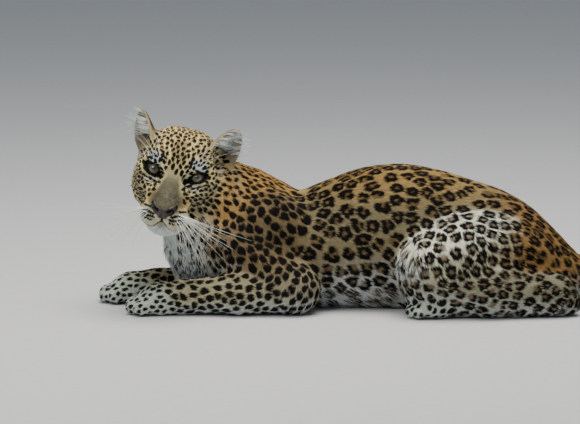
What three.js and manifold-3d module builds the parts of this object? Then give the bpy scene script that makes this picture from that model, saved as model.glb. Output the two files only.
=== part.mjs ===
// A leopard lying on its belly, life size: head raised and turned to its left, forepaws forward,
// hind legs folded, tail along the ground behind it. Millimetres, +Z up. The head end lies towards
// -X and the animal's left side towards -Y. The body is modelled whole, as a smooth blend of rods,
// eggs and a lofted trunk, and is then parted by plane cuts into head, neck, torso, legs and tail.
import * as THREE from "three";
import { mergeVertices } from "three/addons/utils/BufferGeometryUtils.js";
import Module from "manifold-3d";

const wasm = await Module();
wasm.setup();

// Driving dimensions
const GAP = 0.3;
const SMALLEST = 0.002;
const EYES_MIDDLE = [-198, -100, 245];
const FACE_FORWARD = [-0.148, -0.976, -0.159];
const FACE_LEFT = [0.969, -0.116, -0.19];
const BODY_MIDDLE_Y = -20;
const EYE_RADIUS = 15;
const EYE_HALF_SPACING = 38.2;
const EYE_BACK = -9;
const EYE_LOW = -4.5;
const LID_THICK = 3.2;
const SLIT_FORWARD = 5;
const RIGHT_LID_ANGLES = [45, 40];
const LEFT_LID_ANGLES = [37, 38];
const EAR_HIGH = 56;
const EAR_HALF = 30;
const EAR_DEEP = 22;
const EAR_THICK = 7;
const RIGHT_EAR_OPENS = [0.6, -0.8, 0];
const LEFT_EAR_OPENS = [0.8, 0.6, 0];
const NOSE_HALF = 20;
const NOSE_TOP = -31;
const NOSE_BOTTOM = -55;
const NOSE_BACK = 74;
const NOSTRIL = [86, 14, -40];
const FUR = 0x9a6f3c;

// On the head, forward, left and up of the middle between the eyes
const PHILTRUM = [[85, 0, -54], [80.5, 0, -61], [73, 0, -68]];
const LIP_LINE = [
  [72, -1, -69], [71, 12, -78], [71, 24, -80], [62, 32.5, -79], [46, 35.5, -77], [32, 36.5, -71], [22, 42, -66],
];

// The trunk's sections: x, middle y, top z, bottom z, half width
const TRUNK = [
  [-150, -8, 160, 10, 28],
  [-120, -6, 184, -8, 62],
  [-60, -3, 194, -14, 92],
  [0, 0, 194, -16, 104],
  [60, 0, 216, -16, 108],
  [120, -2, 238, -16, 112],
  [190, -6, 247, -16, 116],
  [260, -10, 237, -16, 118],
  [320, -14, 219, -16, 120],
  [375, -18, 200, -14, 119],
  [420, -21, 173, -12, 112],
  [460, -24, 136, -8, 98],
  [495, -26, 98, 0, 74],
  [520, -27, 68, 10, 40],
];

// The tail's middle line: x, y, z, radius
const TAIL = [
  [470, -26, 62, 36], [516, -22, 40, 31], [562, -8, 27, 28], [606, 22, 24, 25], [638, 74, 23, 24.5],
  [644, 136, 22, 23.5], [616, 196, 22, 23], [556, 240, 22, 22.5], [470, 264, 21, 22],
  [380, 274, 20.5, 21.5], [300, 270, 19, 20], [240, 258, 14, 15],
];

const vec = (a) => new THREE.Vector3(...a);
const forward = vec(FACE_FORWARD).normalize();
const left = vec(FACE_LEFT).addScaledVector(forward, -forward.dot(vec(FACE_LEFT))).normalize();
const up = forward.clone().cross(left);

// A point given forward, left and up of the middle between the eyes
function onHead(f, l, u) {
  return vec(EYES_MIDDLE).addScaledVector(forward, f).addScaledVector(left, l).addScaledVector(up, u);
}

function headDirection(f, l, u) {
  return new THREE.Vector3().addScaledVector(forward, f).addScaledVector(left, l)
    .addScaledVector(up, u).normalize();
}

// Forms: each has a box it lies in, the softness of its join, and a signed distance

// A rod of round section between two balls
function rod(a, b, radiusA, radiusB, soft) {
  const reach = Math.max(radiusA, radiusB);
  const ab = b.clone().sub(a);
  const length2 = ab.lengthSq();
  return {
    soft,
    lo: a.clone().min(b).subScalar(reach),
    hi: a.clone().max(b).addScalar(reach),
    distance(p) {
      const dx = p.x - a.x;
      const dy = p.y - a.y;
      const dz = p.z - a.z;
      const t = Math.min(1, Math.max(0, (dx * ab.x + dy * ab.y + dz * ab.z) / length2));
      const away = Math.hypot(dx - t * ab.x, dy - t * ab.y, dz - t * ab.z);
      return away - radiusA - (radiusB - radiusA) * t;
    },
  };
}

// Rods end to end through points of x, y, z, radius
function chain(points, soft) {
  return points.slice(1).map((q, i) => {
    const p = points[i];
    return rod(vec(p.slice(0, 3)), vec(q.slice(0, 3)), p[3], q[3], soft);
  });
}

// An egg of three radii along three axes
function egg(center, radii, soft, axes = [vec([1, 0, 0]), vec([0, 1, 0]), vec([0, 0, 1])]) {
  const reach = new THREE.Vector3(
    Math.hypot(...axes.map((a, i) => a.x * radii[i])),
    Math.hypot(...axes.map((a, i) => a.y * radii[i])),
    Math.hypot(...axes.map((a, i) => a.z * radii[i])),
  );
  const away = new THREE.Vector3();
  return {
    soft,
    lo: center.clone().sub(reach),
    hi: center.clone().add(reach),
    distance(p) {
      away.copy(p).sub(center);
      let k0 = 0;
      let k1 = 0;
      for (let i = 0; i < 3; i += 1) {
        const v = away.dot(axes[i]) / radii[i];
        k0 += v * v;
        k1 += (v / radii[i]) ** 2;
      }
      k0 = Math.sqrt(k0);
      k1 = Math.max(Math.sqrt(k1), 1e-9);
      return (k0 * (k0 - 1)) / k1;
    },
  };
}

// An egg placed and turned on the head: pitch tips its nose end up, yaw turns it to the left
function headEgg(place, radii, soft, pitch = 0, yaw = 0) {
  const cp = Math.cos(THREE.MathUtils.degToRad(pitch));
  const sp = Math.sin(THREE.MathUtils.degToRad(pitch));
  const cy = Math.cos(THREE.MathUtils.degToRad(yaw));
  const sy = Math.sin(THREE.MathUtils.degToRad(yaw));
  const first = headDirection(cp * cy, cp * sy, sp);
  const second = headDirection(-sy, cy, 0);
  return egg(onHead(...place), radii, soft, [first, second, first.clone().cross(second)]);
}

// A smooth curve through one column of the trunk's sections
function trunkCurve(x, column) {
  let i = 0;
  while (i < TRUNK.length - 2 && TRUNK[i + 1][0] < x) {
    i += 1;
  }
  const slope = (n) => {
    const a = TRUNK[Math.max(n - 1, 0)];
    const b = TRUNK[Math.min(n + 1, TRUNK.length - 1)];
    return (b[column] - a[column]) / (b[0] - a[0]);
  };
  const step = TRUNK[i + 1][0] - TRUNK[i][0];
  const t = Math.min(1, Math.max(0, (x - TRUNK[i][0]) / step));
  const t2 = t * t;
  const t3 = t2 * t;
  return (2 * t3 - 3 * t2 + 1) * TRUNK[i][column] + (t3 - 2 * t2 + t) * step * slope(i)
    + (3 * t2 - 2 * t3) * TRUNK[i + 1][column] + (t3 - t2) * step * slope(i + 1);
}

// The trunk: elliptical sections along x
function trunk(soft) {
  const first = TRUNK[0][0];
  const last = TRUNK[TRUNK.length - 1][0];
  return {
    soft,
    lo: vec([first, -140, -20]),
    hi: vec([last, 130, 260]),
    distance(p) {
      const x = Math.min(last, Math.max(first, p.x));
      const top = trunkCurve(x, 2);
      const bottom = trunkCurve(x, 3);
      const high = (top - bottom) / 2;
      const half = trunkCurve(x, 4);
      const y = p.y - trunkCurve(x, 1);
      const z = p.z - (top + bottom) / 2;
      const k0 = Math.hypot(y / half, z / high);
      const k1 = Math.max(Math.hypot(y / half ** 2, z / high ** 2), 1e-6);
      const side = k0 < 1e-3 ? -Math.min(high, half) : (k0 * (k0 - 1)) / k1;
      const past = Math.abs(p.x - x);
      return past > 0 ? Math.hypot(Math.max(side, 0), past) : side;
    },
  };
}

// The tail: rods along a smooth line, joined with no swelling where they meet
function tail(soft) {
  const line = new THREE.CatmullRomCurve3(TAIL.map((p) => vec(p.slice(0, 3))), false, "catmullrom", 0.5);
  const steps = (TAIL.length - 1) * 4;
  const points = [];
  for (let i = 0; i <= steps; i += 1) {
    const t = (i / steps) * (TAIL.length - 1);
    const n = Math.min(Math.floor(t), TAIL.length - 2);
    const radius = THREE.MathUtils.lerp(TAIL[n][3], TAIL[n + 1][3], t - n);
    points.push([...line.getPoint(i / steps).toArray(), radius]);
  }
  const rods = chain(points, soft);
  return {
    soft,
    lo: rods.reduce((lo, r) => lo.min(r.lo), rods[0].lo.clone()),
    hi: rods.reduce((hi, r) => hi.max(r.hi), rods[0].hi.clone()),
    distance: (p) => Math.min(...rods.map((r) => r.distance(p))),
  };
}

// A paw flat on the ground: tip is below the longest toes, heading in degrees
function paw(tip, heading, size) {
  const c = Math.cos(THREE.MathUtils.degToRad(heading));
  const s = Math.sin(THREE.MathUtils.degToRad(heading));
  const ahead = vec([c, s, 0]);
  const aside = vec([-s, c, 0]);
  const at = (f, l, z) => vec([...tip, 0]).addScaledVector(ahead, f * size)
    .addScaledVector(aside, l * size).add(vec([0, 0, z * size]));
  const axes = [ahead, aside, vec([0, 0, 1])];
  const forms = [egg(at(-52, 0, 19), [36 * size, 30 * size, 24 * size], 14, axes)];
  for (const [across, back, radius] of [[-23, 11, 11.5], [-8.5, 0, 13], [8.5, 0, 13], [23, 11, 11.5]]) {
    const front = at(-14 - back, across, 12);
    const rear = at(-40 - back, across * 0.8, 22);
    forms.push(rod(front, rear, radius * size, 11.5 * size, 7));
  }
  return forms;
}

function neckAndBreast() {
  return [
    ...chain([
      [-36, 0, 150, 64], [-66, -4, 155, 75], [-104, -10, 169, 74], [-135, -18, 188, 68], [-165, -32, 213, 60],
    ], 24),
    egg(vec([-118, -14, 92]), [93, 78, 90], 30),
    ...chain([[-168, -48, 112, 50], [-180, -72, 158, 42]], 26),
  ];
}

function nearForeleg() {
  return [
    egg(vec([-38, -66, 138]), [74, 48, 66], 24),
    ...chain([[-92, -84, 106, 50], [6, -112, 43, 45]], 20),
    ...chain([[6, -112, 43, 45], [-90, -120, 37, 38], [-185, -116, 29, 30], [-225, -112, 27, 28]], 14),
    ...paw([-286, -112], 178, 1.2),
  ];
}

function farForeleg() {
  return [
    egg(vec([-30, 62, 138]), [72, 46, 66], 24),
    ...chain([[-95, 72, 106, 50], [8, 104, 43, 45]], 20),
    ...chain([[8, 104, 43, 45], [-110, 60, 36, 37], [-235, 10, 28, 29], [-275, 6, 26, 27]], 14),
    ...paw([-337, 2], 184, 1.2),
  ];
}

// side is -1 for the near leg, 1 for the far one
function hindLeg(side) {
  const y = (v) => BODY_MIDDLE_Y + side * v;
  return [
    egg(vec([322, y(80), 94]), [136, 66, 83], 18),
    ...chain([[300, y(98), 98, 68], [244, y(112), 86, 58]], 20),
    ...chain([[244, y(112), 62, 58], [340, y(122), 48, 46], [455, y(112), 38, 38]], 16),
    ...chain([[478, y(112), 24, 26], [390, y(128), 20, 20], [290, y(132), 20, 20]], 12),
    ...paw([196, y(130)], 180 + side * 2, 1.05),
  ];
}

function skull() {
  const forms = [
    headEgg([-62, 0, -2], [70, 60, 62], 20),
    headEgg([-58, 26, 2], [60, 40, 54], 18),
    headEgg([-58, -26, 2], [60, 40, 54], 18),
    headEgg([-24, 0, 4], [36, 50, 34], 18, -25),
    headEgg([30, 0, -44], [54, 37, 28], 14, -12),
  ];
  for (const s of [-1, 1]) {
    forms.push(
      // bridge of the nose
      rod(onHead(-8, s * 11, -2), onHead(70, s * 9, -41), 18, 13, 12),
      // side of the muzzle
      headEgg([16, s * 22, -28], [36, 20, 20], 12, -20),
      // cheek, under the eye and behind it
      headEgg([-2, s * 42, -27], [28, 22, 20], 14),
      headEgg([-34, s * 41, -22], [44, 32, 40], 16),
      // whisker pad
      headEgg([56, s * 20, -60], [27, 22, 24], 6, -12, s * 8),
      // lower jaw
      rod(onHead(-45, s * 38, -58), onHead(36, s * 15, -79), 30, 17, 14),
      // ruff
      headEgg([-66, s * 46, -44], [42, 34, 46], 20),
      // brow
      headEgg([-10, s * 33, 15], [17, 20, 9], 10, 0, s * 25),
    );
  }
  forms.push(headEgg([44, 0, -87], [24, 27, 14], 9));
  forms.push(headEgg([80, 0, -43], [10, 19, 11], 5, -25));
  forms.push(rod(onHead(-70, 0, -55), onHead(-95, 0, -90), 52, 55, 24));
  return forms;
}

// The shallow hollows that the eyes lie in
const EYE_HOLLOWS = [-1, 1].map((s) => headEgg([17, s * 36, -6], [12, 20, 12], 10));

// A cupped leaf with a rounded outline, hollow towards the front
function ear(side) {
  const base = onHead(-52, side * 66, 24);
  const axisUp = headDirection(-0.14, side * 0.56, 0.84);
  const opens = headDirection(...(side > 0 ? LEFT_EAR_OPENS : RIGHT_EAR_OPENS));
  opens.addScaledVector(axisUp, -opens.dot(axisUp)).normalize();
  const across = axisUp.clone().cross(opens);
  const away = new THREE.Vector3();
  return {
    soft: 10,
    base,
    axes: [across, axisUp, opens],
    lo: base.clone().subScalar(75),
    hi: base.clone().addScalar(75),
    distance(p) {
      away.copy(p).sub(base);
      const x = away.dot(across);
      const v = away.dot(axisUp);
      const z = away.dot(opens);
      const rise = Math.min(1, Math.max(0, v / EAR_HIGH));
      const deep = EAR_DEEP * (1 - 0.55 * rise);
      const sheet = -deep * (1 - (x / EAR_HALF) ** 2) - 7 * rise * rise;
      const slope = Math.hypot(1, (2 * deep * x) / EAR_HALF ** 2);
      const wall = Math.abs(z - sheet) / slope - (EAR_THICK / 2) * (1.25 - 0.5 * rise);
      const high = Math.max(v, 0) / EAR_HIGH;
      const k0 = Math.hypot(x / EAR_HALF, high);
      const k1 = Math.max(Math.hypot(x / EAR_HALF ** 2, high / EAR_HIGH), 1e-6);
      const edge = Math.max((k0 * (k0 - 1)) / k1, -v - 22);
      return -softUnion(-wall, -edge, 5);
    },
  };
}

function softUnion(a, b, soft) {
  const h = Math.max(soft - Math.abs(a - b), 0) / soft;
  return Math.min(a, b) - (h * h * soft) / 4;
}

const BODY = [
  trunk(20), ...neckAndBreast(), ...nearForeleg(), ...farForeleg(), ...hindLeg(-1), ...hindLeg(1),
  tail(18), ...skull(),
];

// Distance to the skin of the whole animal
function whole(p) {
  let d = 1000;
  for (const form of BODY) {
    const m = form.soft + 25;
    const near = p.x > form.lo.x - m && p.x < form.hi.x + m && p.y > form.lo.y - m
      && p.y < form.hi.y + m && p.z > form.lo.z - m && p.z < form.hi.z + m;
    if (near) {
      d = softUnion(d, form.distance(p), form.soft);
    }
  }
  for (const hollow of EYE_HOLLOWS) {
    if (p.distanceTo(onHead(0, 0, 0)) < 90) {
      d = -softUnion(-d, hollow.distance(p), hollow.soft);
    }
  }
  return d;
}

// Meshing of a distance by surface nets: a vertex in each cell that the surface crosses
const WORLD_AXES = [vec([1, 0, 0]), vec([0, 1, 0]), vec([0, 0, 1])];

// Grid steps from lo to hi, smaller between fineLo and fineHi
function ticks(lo, hi, cell, fineLo = lo, fineHi = hi, fine = cell) {
  const out = [lo];
  while (out[out.length - 1] < hi) {
    const at = out[out.length - 1];
    out.push(at + (at >= fineLo && at < fineHi ? fine : cell));
  }
  return out;
}

const evenGrid = (lo, hi, cell) => lo.map((a, i) => ticks(a, hi[i], cell));

function skinMesh(distance, grid, origin = vec([0, 0, 0]), axes = WORLD_AXES) {
  const count = grid.map((g) => g.length);
  const index = (i, j, k) => (i * count[1] + j) * count[2] + k;
  const place = (i, j, k) => origin.clone()
    .addScaledVector(axes[0], grid[0][i])
    .addScaledVector(axes[1], grid[1][j])
    .addScaledVector(axes[2], grid[2][k]);
  const value = new Float64Array(count[0] * count[1] * count[2]);
  for (let i = 0; i < count[0]; i += 1) {
    for (let j = 0; j < count[1]; j += 1) {
      for (let k = 0; k < count[2]; k += 1) {
        const rim = i === 0 || j === 0 || k === 0 || i === count[0] - 1 || j === count[1] - 1
          || k === count[2] - 1;
        value[index(i, j, k)] = rim ? 1 : distance(place(i, j, k));
      }
    }
  }
  const vertexOf = new Int32Array(value.length).fill(-1);
  const points = [];
  for (let i = 0; i < count[0] - 1; i += 1) {
    for (let j = 0; j < count[1] - 1; j += 1) {
      for (let k = 0; k < count[2] - 1; k += 1) {
        const point = cellVertex(value, index, place, i, j, k);
        if (point) {
          const inner = i > 0 && j > 0 && k > 0 && i < count[0] - 2 && j < count[1] - 2
            && k < count[2] - 2;
          vertexOf[index(i, j, k)] = points.length;
          points.push(inner ? onSkin(distance, point) : point);
        }
      }
    }
  }
  const faces = [];
  const quad = (a, b, c, d, flip) => {
    const q = flip ? [a, d, c, b] : [a, b, c, d];
    const short = points[q[0]].distanceTo(points[q[2]]) < points[q[1]].distanceTo(points[q[3]]);
    faces.push(...(short ? [q[0], q[1], q[2], q[0], q[2], q[3]] : [q[1], q[2], q[3], q[1], q[3], q[0]]));
  };
  for (let i = 0; i < count[0] - 1; i += 1) {
    for (let j = 0; j < count[1] - 1; j += 1) {
      for (let k = 0; k < count[2] - 1; k += 1) {
        const here = value[index(i, j, k)] < 0;
        const v = (di, dj, dk) => vertexOf[index(i - di, j - dj, k - dk)];
        if (j && k && here !== value[index(i + 1, j, k)] < 0) {
          quad(v(0, 1, 1), v(0, 0, 1), v(0, 0, 0), v(0, 1, 0), !here);
        }
        if (i && k && here !== value[index(i, j + 1, k)] < 0) {
          quad(v(1, 0, 1), v(1, 0, 0), v(0, 0, 0), v(0, 0, 1), !here);
        }
        if (i && j && here !== value[index(i, j, k + 1)] < 0) {
          quad(v(1, 1, 0), v(0, 1, 0), v(0, 0, 0), v(1, 0, 0), !here);
        }
      }
    }
  }
  const geometry = new THREE.BufferGeometry();
  geometry.setAttribute("position", new THREE.Float32BufferAttribute(points.flatMap((p) => p.toArray()), 3));
  geometry.setIndex(faces);
  return geometry;
}

// The mean of the points where the surface crosses the edges of one cell
function cellVertex(value, index, place, i, j, k) {
  const total = new THREE.Vector3();
  let crossed = 0;
  for (let axis = 0; axis < 3; axis += 1) {
    for (let n = 0; n < 4; n += 1) {
      const a = [0, 0, 0];
      a[(axis + 1) % 3] = n % 2;
      a[(axis + 2) % 3] = n >> 1;
      const b = [...a];
      b[axis] = 1;
      const va = value[index(i + a[0], j + a[1], k + a[2])];
      const vb = value[index(i + b[0], j + b[1], k + b[2])];
      if (va < 0 !== vb < 0) {
        const start = place(i + a[0], j + a[1], k + a[2]);
        const end = place(i + b[0], j + b[1], k + b[2]);
        total.add(start.lerp(end, va / (va - vb)));
        crossed += 1;
      }
    }
  }
  return crossed ? total.divideScalar(crossed) : null;
}

// Moves a point along the slope of the distance until it is on the surface
function onSkin(distance, point) {
  const start = point.clone();
  const step = 0.5;
  const most = 2.5;
  for (let n = 0; n < 3; n += 1) {
    const d = distance(point);
    const slope = vec(WORLD_AXES.map((a) => distance(point.clone().addScaledVector(a, step)) - d));
    slope.divideScalar(step);
    point.addScaledVector(slope, -d / Math.max(slope.lengthSq(), 0.25));
  }
  const moved = point.clone().sub(start);
  return start.add(moved.clampLength(0, most));
}

// Solids and their cuts

function solid(geometry) {
  let g = geometry.clone();
  g.deleteAttribute("normal");
  g.deleteAttribute("uv");
  g = mergeVertices(g, 1e-4);
  return new wasm.Manifold(new wasm.Mesh({
    numProp: 3,
    vertProperties: new Float32Array(g.attributes.position.array),
    triVerts: new Uint32Array(g.index.array),
  }));
}

function largest(piece) {
  return piece.decompose().sort((a, b) => b.volume() - a.volume())[0];
}

// The triangles with corners nearer than the smallest feature joined, and slivers dropped
function withoutSlivers(piece) {
  const out = piece.getMesh();
  let geometry = new THREE.BufferGeometry();
  geometry.setAttribute("position", new THREE.BufferAttribute(out.vertProperties, 3));
  geometry.setIndex(new THREE.BufferAttribute(out.triVerts, 1));
  geometry = mergeVertices(geometry, SMALLEST);
  const faces = new Map();
  const old = geometry.index.array;
  for (let i = 0; i < old.length; i += 3) {
    const [a, b, c] = old.slice(i, i + 3);
    const key = [a, b, c].sort((p, q) => p - q).join();
    if (a === b || b === c || a === c) {
      continue;
    }
    if (faces.has(key)) {
      faces.delete(key);
    } else {
      faces.set(key, [a, b, c]);
    }
  }
  geometry.setIndex([...faces.values()].flat());
  return geometry;
}

function meshOf(name, piece, color, roughness = 0.85) {
  const geometry = withoutSlivers(largest(piece));
  geometry.computeVertexNormals();
  const material = new THREE.MeshStandardMaterial({ color, roughness, metalness: 0 });
  const mesh = new THREE.Mesh(geometry, material);
  mesh.name = name;
  return mesh;
}

// A block that fills the far side of a plane; the plane's normal points out of the block
function blockBehind(point, normal) {
  const size = 3000;
  const block = new THREE.BoxGeometry(size, size, size);
  const turn = new THREE.Quaternion().setFromUnitVectors(vec([0, 0, 1]), normal);
  block.translate(0, 0, -size / 2);
  block.applyQuaternion(turn);
  block.translate(point.x, point.y, point.z);
  return solid(block);
}

const plane = (point, normal) => ({ point: vec(point), normal: vec(normal).normalize() });
const flipped = (p) => ({ point: p.point, normal: p.normal.clone().negate() });

// What lies in front of all the planes, each moved forward by inset
function region(planes, inset) {
  let out = solid(new THREE.BoxGeometry(2400, 2400, 2400));
  for (const p of planes) {
    out = out.subtract(blockBehind(p.point.clone().addScaledVector(p.normal, inset), p.normal));
  }
  return out;
}

const HEAD_CUT = plane([-122, -3, 185], [-0.7, -0.3, 0.65]);
const NECK_CUT = plane([-62, -4, 150], [-0.6, -0.05, 0.8]);
const LEG_TOP = plane([0, 0, 82], [0, 0, -1]);
const ELBOW_BACK = plane([58, 0, 0], [-1, 0, 0]);
const NEAR_ARM = plane([0, -78, 0], [0, -1, 0]);
const FAR_ARM = plane([20, 62, 0], [-0.341, 0.94, 0]);
const NEAR_WRIST = plane([-212, 0, 0], [-1, 0, 0]);
const FAR_WRIST = plane([-256, 0, 0], [-1, 0, 0]);
const BETWEEN_PAWS = plane([0, -56, 0], [0, -1, 0]);
const THIGH_FRONT = plane([166, 0, 0], [1, 0, 0]);
const NEAR_THIGH = plane([0, BODY_MIDDLE_Y - 78, 0], [0, -1, 0]);
const FAR_THIGH = plane([0, BODY_MIDDLE_Y + 88, 0], [0, 1, 0]);
const TAIL_ROOT = plane([522, 0, 0], [1, 0, 0]);
const TAIL_TURN = plane([598, 16, 0], [0.8, 0.6, 0]);
const TAIL_FAR = plane([0, 105, 0], [0, 1, 0]);
const TAIL_RETURN = plane([590, 218, 0], [-0.64, 0.77, 0]);
const TAIL_SIDE = plane([0, 150, 0], [0, 1, 0]);
const TAIL_HALF = plane([430, 0, 0], [1, 0, 0]);
const NECK_BASE = plane([0, 0, 88], [0, 0, 1]);

// Each piece: its planes, the box it is meshed in and the size of the mesh's cells
const PIECES = {
  neck: [[flipped(HEAD_CUT), NECK_CUT, NECK_BASE], [-240, -170, 50], [60, 130, 290], 20],
  foreleg_left: [[LEG_TOP, ELBOW_BACK, NEAR_ARM, flipped(NEAR_WRIST)], [-242, -183, -36], [85, -40, 115], 15],
  foreleg_right: [[LEG_TOP, ELBOW_BACK, FAR_ARM, flipped(FAR_WRIST)], [-285, -75, -30], [85, 175, 115], 17.5],
  forepaw_left: [[LEG_TOP, NEAR_WRIST, BETWEEN_PAWS], [-320, -170, -30], [-195, -45, 75], 10],
  forepaw_right: [[LEG_TOP, FAR_WRIST, flipped(BETWEEN_PAWS)], [-365, -60, -30], [-240, 65, 75], 10],
  hindleg_left: [[THIGH_FRONT, flipped(TAIL_ROOT), NEAR_THIGH], [140, -225, -30], [550, -65, 230], 21],
  hindleg_right: [
    [THIGH_FRONT, flipped(TAIL_ROOT), FAR_THIGH, flipped(TAIL_SIDE)], [140, 25, -30], [550, 185, 230], 21,
  ],
  tail_root: [[TAIL_ROOT, flipped(TAIL_TURN)], [490, -90, -30], [660, 90, 110], 15],
  tail_bend: [[TAIL_ROOT, TAIL_TURN, flipped(TAIL_FAR)], [560, -40, -30], [700, 140, 80], 15],
  tail_side: [[TAIL_ROOT, TAIL_FAR, flipped(TAIL_RETURN)], [540, 70, -30], [700, 270, 80], 15],
  tail_middle: [[TAIL_SIDE, TAIL_HALF, TAIL_RETURN], [400, 170, -30], [640, 320, 80], 15],
  tail_tip: [[TAIL_SIDE, flipped(TAIL_HALF)], [190, 215, -30], [460, 320, 80], 14],
};

const ground = blockBehind(vec([0, 0, 0]), vec([0, 0, 1]));
const leopard = new THREE.Group();
const headRegion = [HEAD_CUT, NECK_BASE];
const cuts = [headRegion];

for (const [name, [planes, lo, hi, cell]] of Object.entries(PIECES)) {
  cuts.push(planes);
  const skin = solid(skinMesh(whole, evenGrid(lo, hi, cell)));
  leopard.add(meshOf(name, skin.intersect(region(planes, GAP / 2)).subtract(ground), FUR));
}

let torso = solid(skinMesh(whole, evenGrid([-230, -200, -40], [560, 175, 275], 25))).subtract(ground);
for (const planes of cuts) {
  torso = torso.subtract(region(planes, -GAP / 2));
}
leopard.add(meshOf("torso", torso, FUR));

// The head, meshed along its own axes with finer cells on the face
const headAxes = [forward, left, up];

function headMesh(grow) {
  const grid = [
    ticks(-151, 120, 15, -17, 120, 9),
    ticks(-112.5, 112.5, 16, -58.5, 58.5, 9),
    ticks(-140, 90, 15, -98, 30, 9),
  ];
  return solid(skinMesh((p) => whole(p) - grow, grid, vec(EYES_MIDDLE), headAxes));
}

function ball(center, radius, around = 20) {
  const g = new THREE.SphereGeometry(radius, around, Math.round(around * 0.7));
  g.translate(center.x, center.y, center.z);
  return solid(g);
}

// The opening between the lids: a wedge whose edge runs from corner to corner of the eye
function lidOpening(side) {
  const corner = headDirection(-0.25, side * 0.84, 0.4);
  const facing = headDirection(0.95, side * 0.02, 0.2);
  facing.addScaledVector(corner, -facing.dot(corner)).normalize();
  const rise = corner.clone().cross(facing).multiplyScalar(-side);
  const reach = 22;
  const angles = side > 0 ? LEFT_LID_ANGLES : RIGHT_LID_ANGLES;
  const [upper, lower] = angles.map(THREE.MathUtils.degToRad);
  const wedge = new THREE.Shape();
  wedge.moveTo(SLIT_FORWARD, 0);
  wedge.lineTo(SLIT_FORWARD + reach, -reach * Math.tan(lower));
  wedge.lineTo(SLIT_FORWARD + reach, reach * Math.tan(upper));
  const g = new THREE.ExtrudeGeometry(wedge, { depth: 2 * reach, bevelEnabled: false });
  g.translate(0, 0, -reach);
  const turn = new THREE.Matrix4().makeBasis(facing, rise, facing.clone().cross(rise));
  g.applyMatrix4(turn);
  const middle = onHead(EYE_BACK, side * EYE_HALF_SPACING, EYE_LOW);
  g.translate(middle.x, middle.y, middle.z);
  return solid(g).intersect(ball(middle, EYE_RADIUS + 7));
}

// Places a shape drawn left and up, and given depth forwards, on the head
function faceBlock(shape, from, to) {
  const g = new THREE.ExtrudeGeometry(shape, { depth: to - from, bevelEnabled: false, curveSegments: 4 });
  const turn = new THREE.Matrix4().makeBasis(left, up, forward);
  g.translate(0, 0, from);
  g.applyMatrix4(turn);
  g.translate(...EYES_MIDDLE);
  return solid(g);
}

// The outline of the nose leather, wide above and narrow at the lip
function noseOutline(grow) {
  const half = NOSE_HALF + grow;
  const low = NOSE_HALF * 0.3 + grow;
  const top = NOSE_TOP + grow;
  const bottom = NOSE_BOTTOM - grow;
  const shape = new THREE.Shape();
  shape.moveTo(-low, bottom);
  shape.lineTo(low, bottom);
  shape.quadraticCurveTo(half * 0.6, bottom + 9, half, top - 8);
  shape.quadraticCurveTo(half * 0.95, top, half * 0.6, top);
  shape.lineTo(-half * 0.6, top);
  shape.quadraticCurveTo(-half * 0.95, top, -half, top - 8);
  shape.quadraticCurveTo(-half * 0.6, bottom + 9, -low, bottom);
  return shape;
}

// A round groove along points on the head
function groove(points, radius) {
  const line = new THREE.CatmullRomCurve3(points.map((p) => onHead(...p)));
  const section = new THREE.Shape();
  section.absarc(0, 0, radius, 0, 2 * Math.PI);
  const steps = points.length * 2;
  const options = { steps, bevelEnabled: false, extrudePath: line, curveSegments: 5 };
  return solid(new THREE.ExtrudeGeometry(section, options));
}

// An egg-shaped pit, its long axis forward
function pit(center, radii) {
  const g = new THREE.SphereGeometry(1, 10, 7);
  g.rotateX(Math.PI / 2);
  g.scale(radii[1], radii[2], radii[0]);
  g.applyMatrix4(new THREE.Matrix4().makeBasis(left, up, forward));
  g.translate(...onHead(...center).toArray());
  return solid(g);
}

const headPlain = headMesh(0);
const headGrown = headMesh(GAP);
let head = headPlain.intersect(region(headRegion, GAP / 2));
head = head.subtract(faceBlock(noseOutline(GAP), NOSE_BACK - GAP, NOSE_BACK + 60));
head = head.subtract(groove(PHILTRUM, 2));
for (const side of [-1, 1]) {
  head = head.subtract(groove(LIP_LINE.map(([f, l, u]) => [f, side * l, u]), 2.2));
}

const noseGrid = [ticks(60, 110, 6), ticks(-30, 30, 6), ticks(-72, -20, 6)];
let nose = solid(skinMesh(whole, noseGrid, vec(EYES_MIDDLE), headAxes));
nose = nose.intersect(faceBlock(noseOutline(0), NOSE_BACK, NOSE_BACK + 60));
for (const side of [-1, 1]) {
  nose = nose.subtract(pit([NOSTRIL[0], side * NOSTRIL[1], NOSTRIL[2]], [9, 4.6, 3.8]));
}
leopard.add(meshOf("nose", nose, 0x2b2320, 0.5));

for (const side of [-1, 1]) {
  head = head.add(ball(onHead(EYE_BACK, side * EYE_HALF_SPACING, EYE_LOW), EYE_RADIUS + LID_THICK));
}
for (const side of [-1, 1]) {
  const word = side > 0 ? "left" : "right";
  const middle = onHead(EYE_BACK, side * EYE_HALF_SPACING, EYE_LOW);
  head = head.subtract(ball(middle, EYE_RADIUS + GAP)).subtract(lidOpening(side));
  const iris = new THREE.MeshStandardMaterial({ color: 0x6f6a4a, roughness: 0.1, metalness: 0 });
  const eye = new THREE.Mesh(new THREE.SphereGeometry(EYE_RADIUS, 18, 12), iris);
  eye.name = `eye_${word}`;
  eye.position.copy(middle);
  leopard.add(eye);
  const form = ear(side);
  const grid = [
    ticks(-EAR_HALF - 12.5, EAR_HALF + 15, 7.2),
    ticks(-32, EAR_HIGH + 14, 7.4),
    ticks(-EAR_DEEP - 16, 16, 3.5),
  ];
  const leaf = skinMesh((p) => form.distance(p), grid, form.base, form.axes);
  leopard.add(meshOf(`ear_${word}`, solid(leaf).subtract(headGrown), FUR));
}
leopard.add(meshOf("head", head, FUR));

export default leopard;
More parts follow.
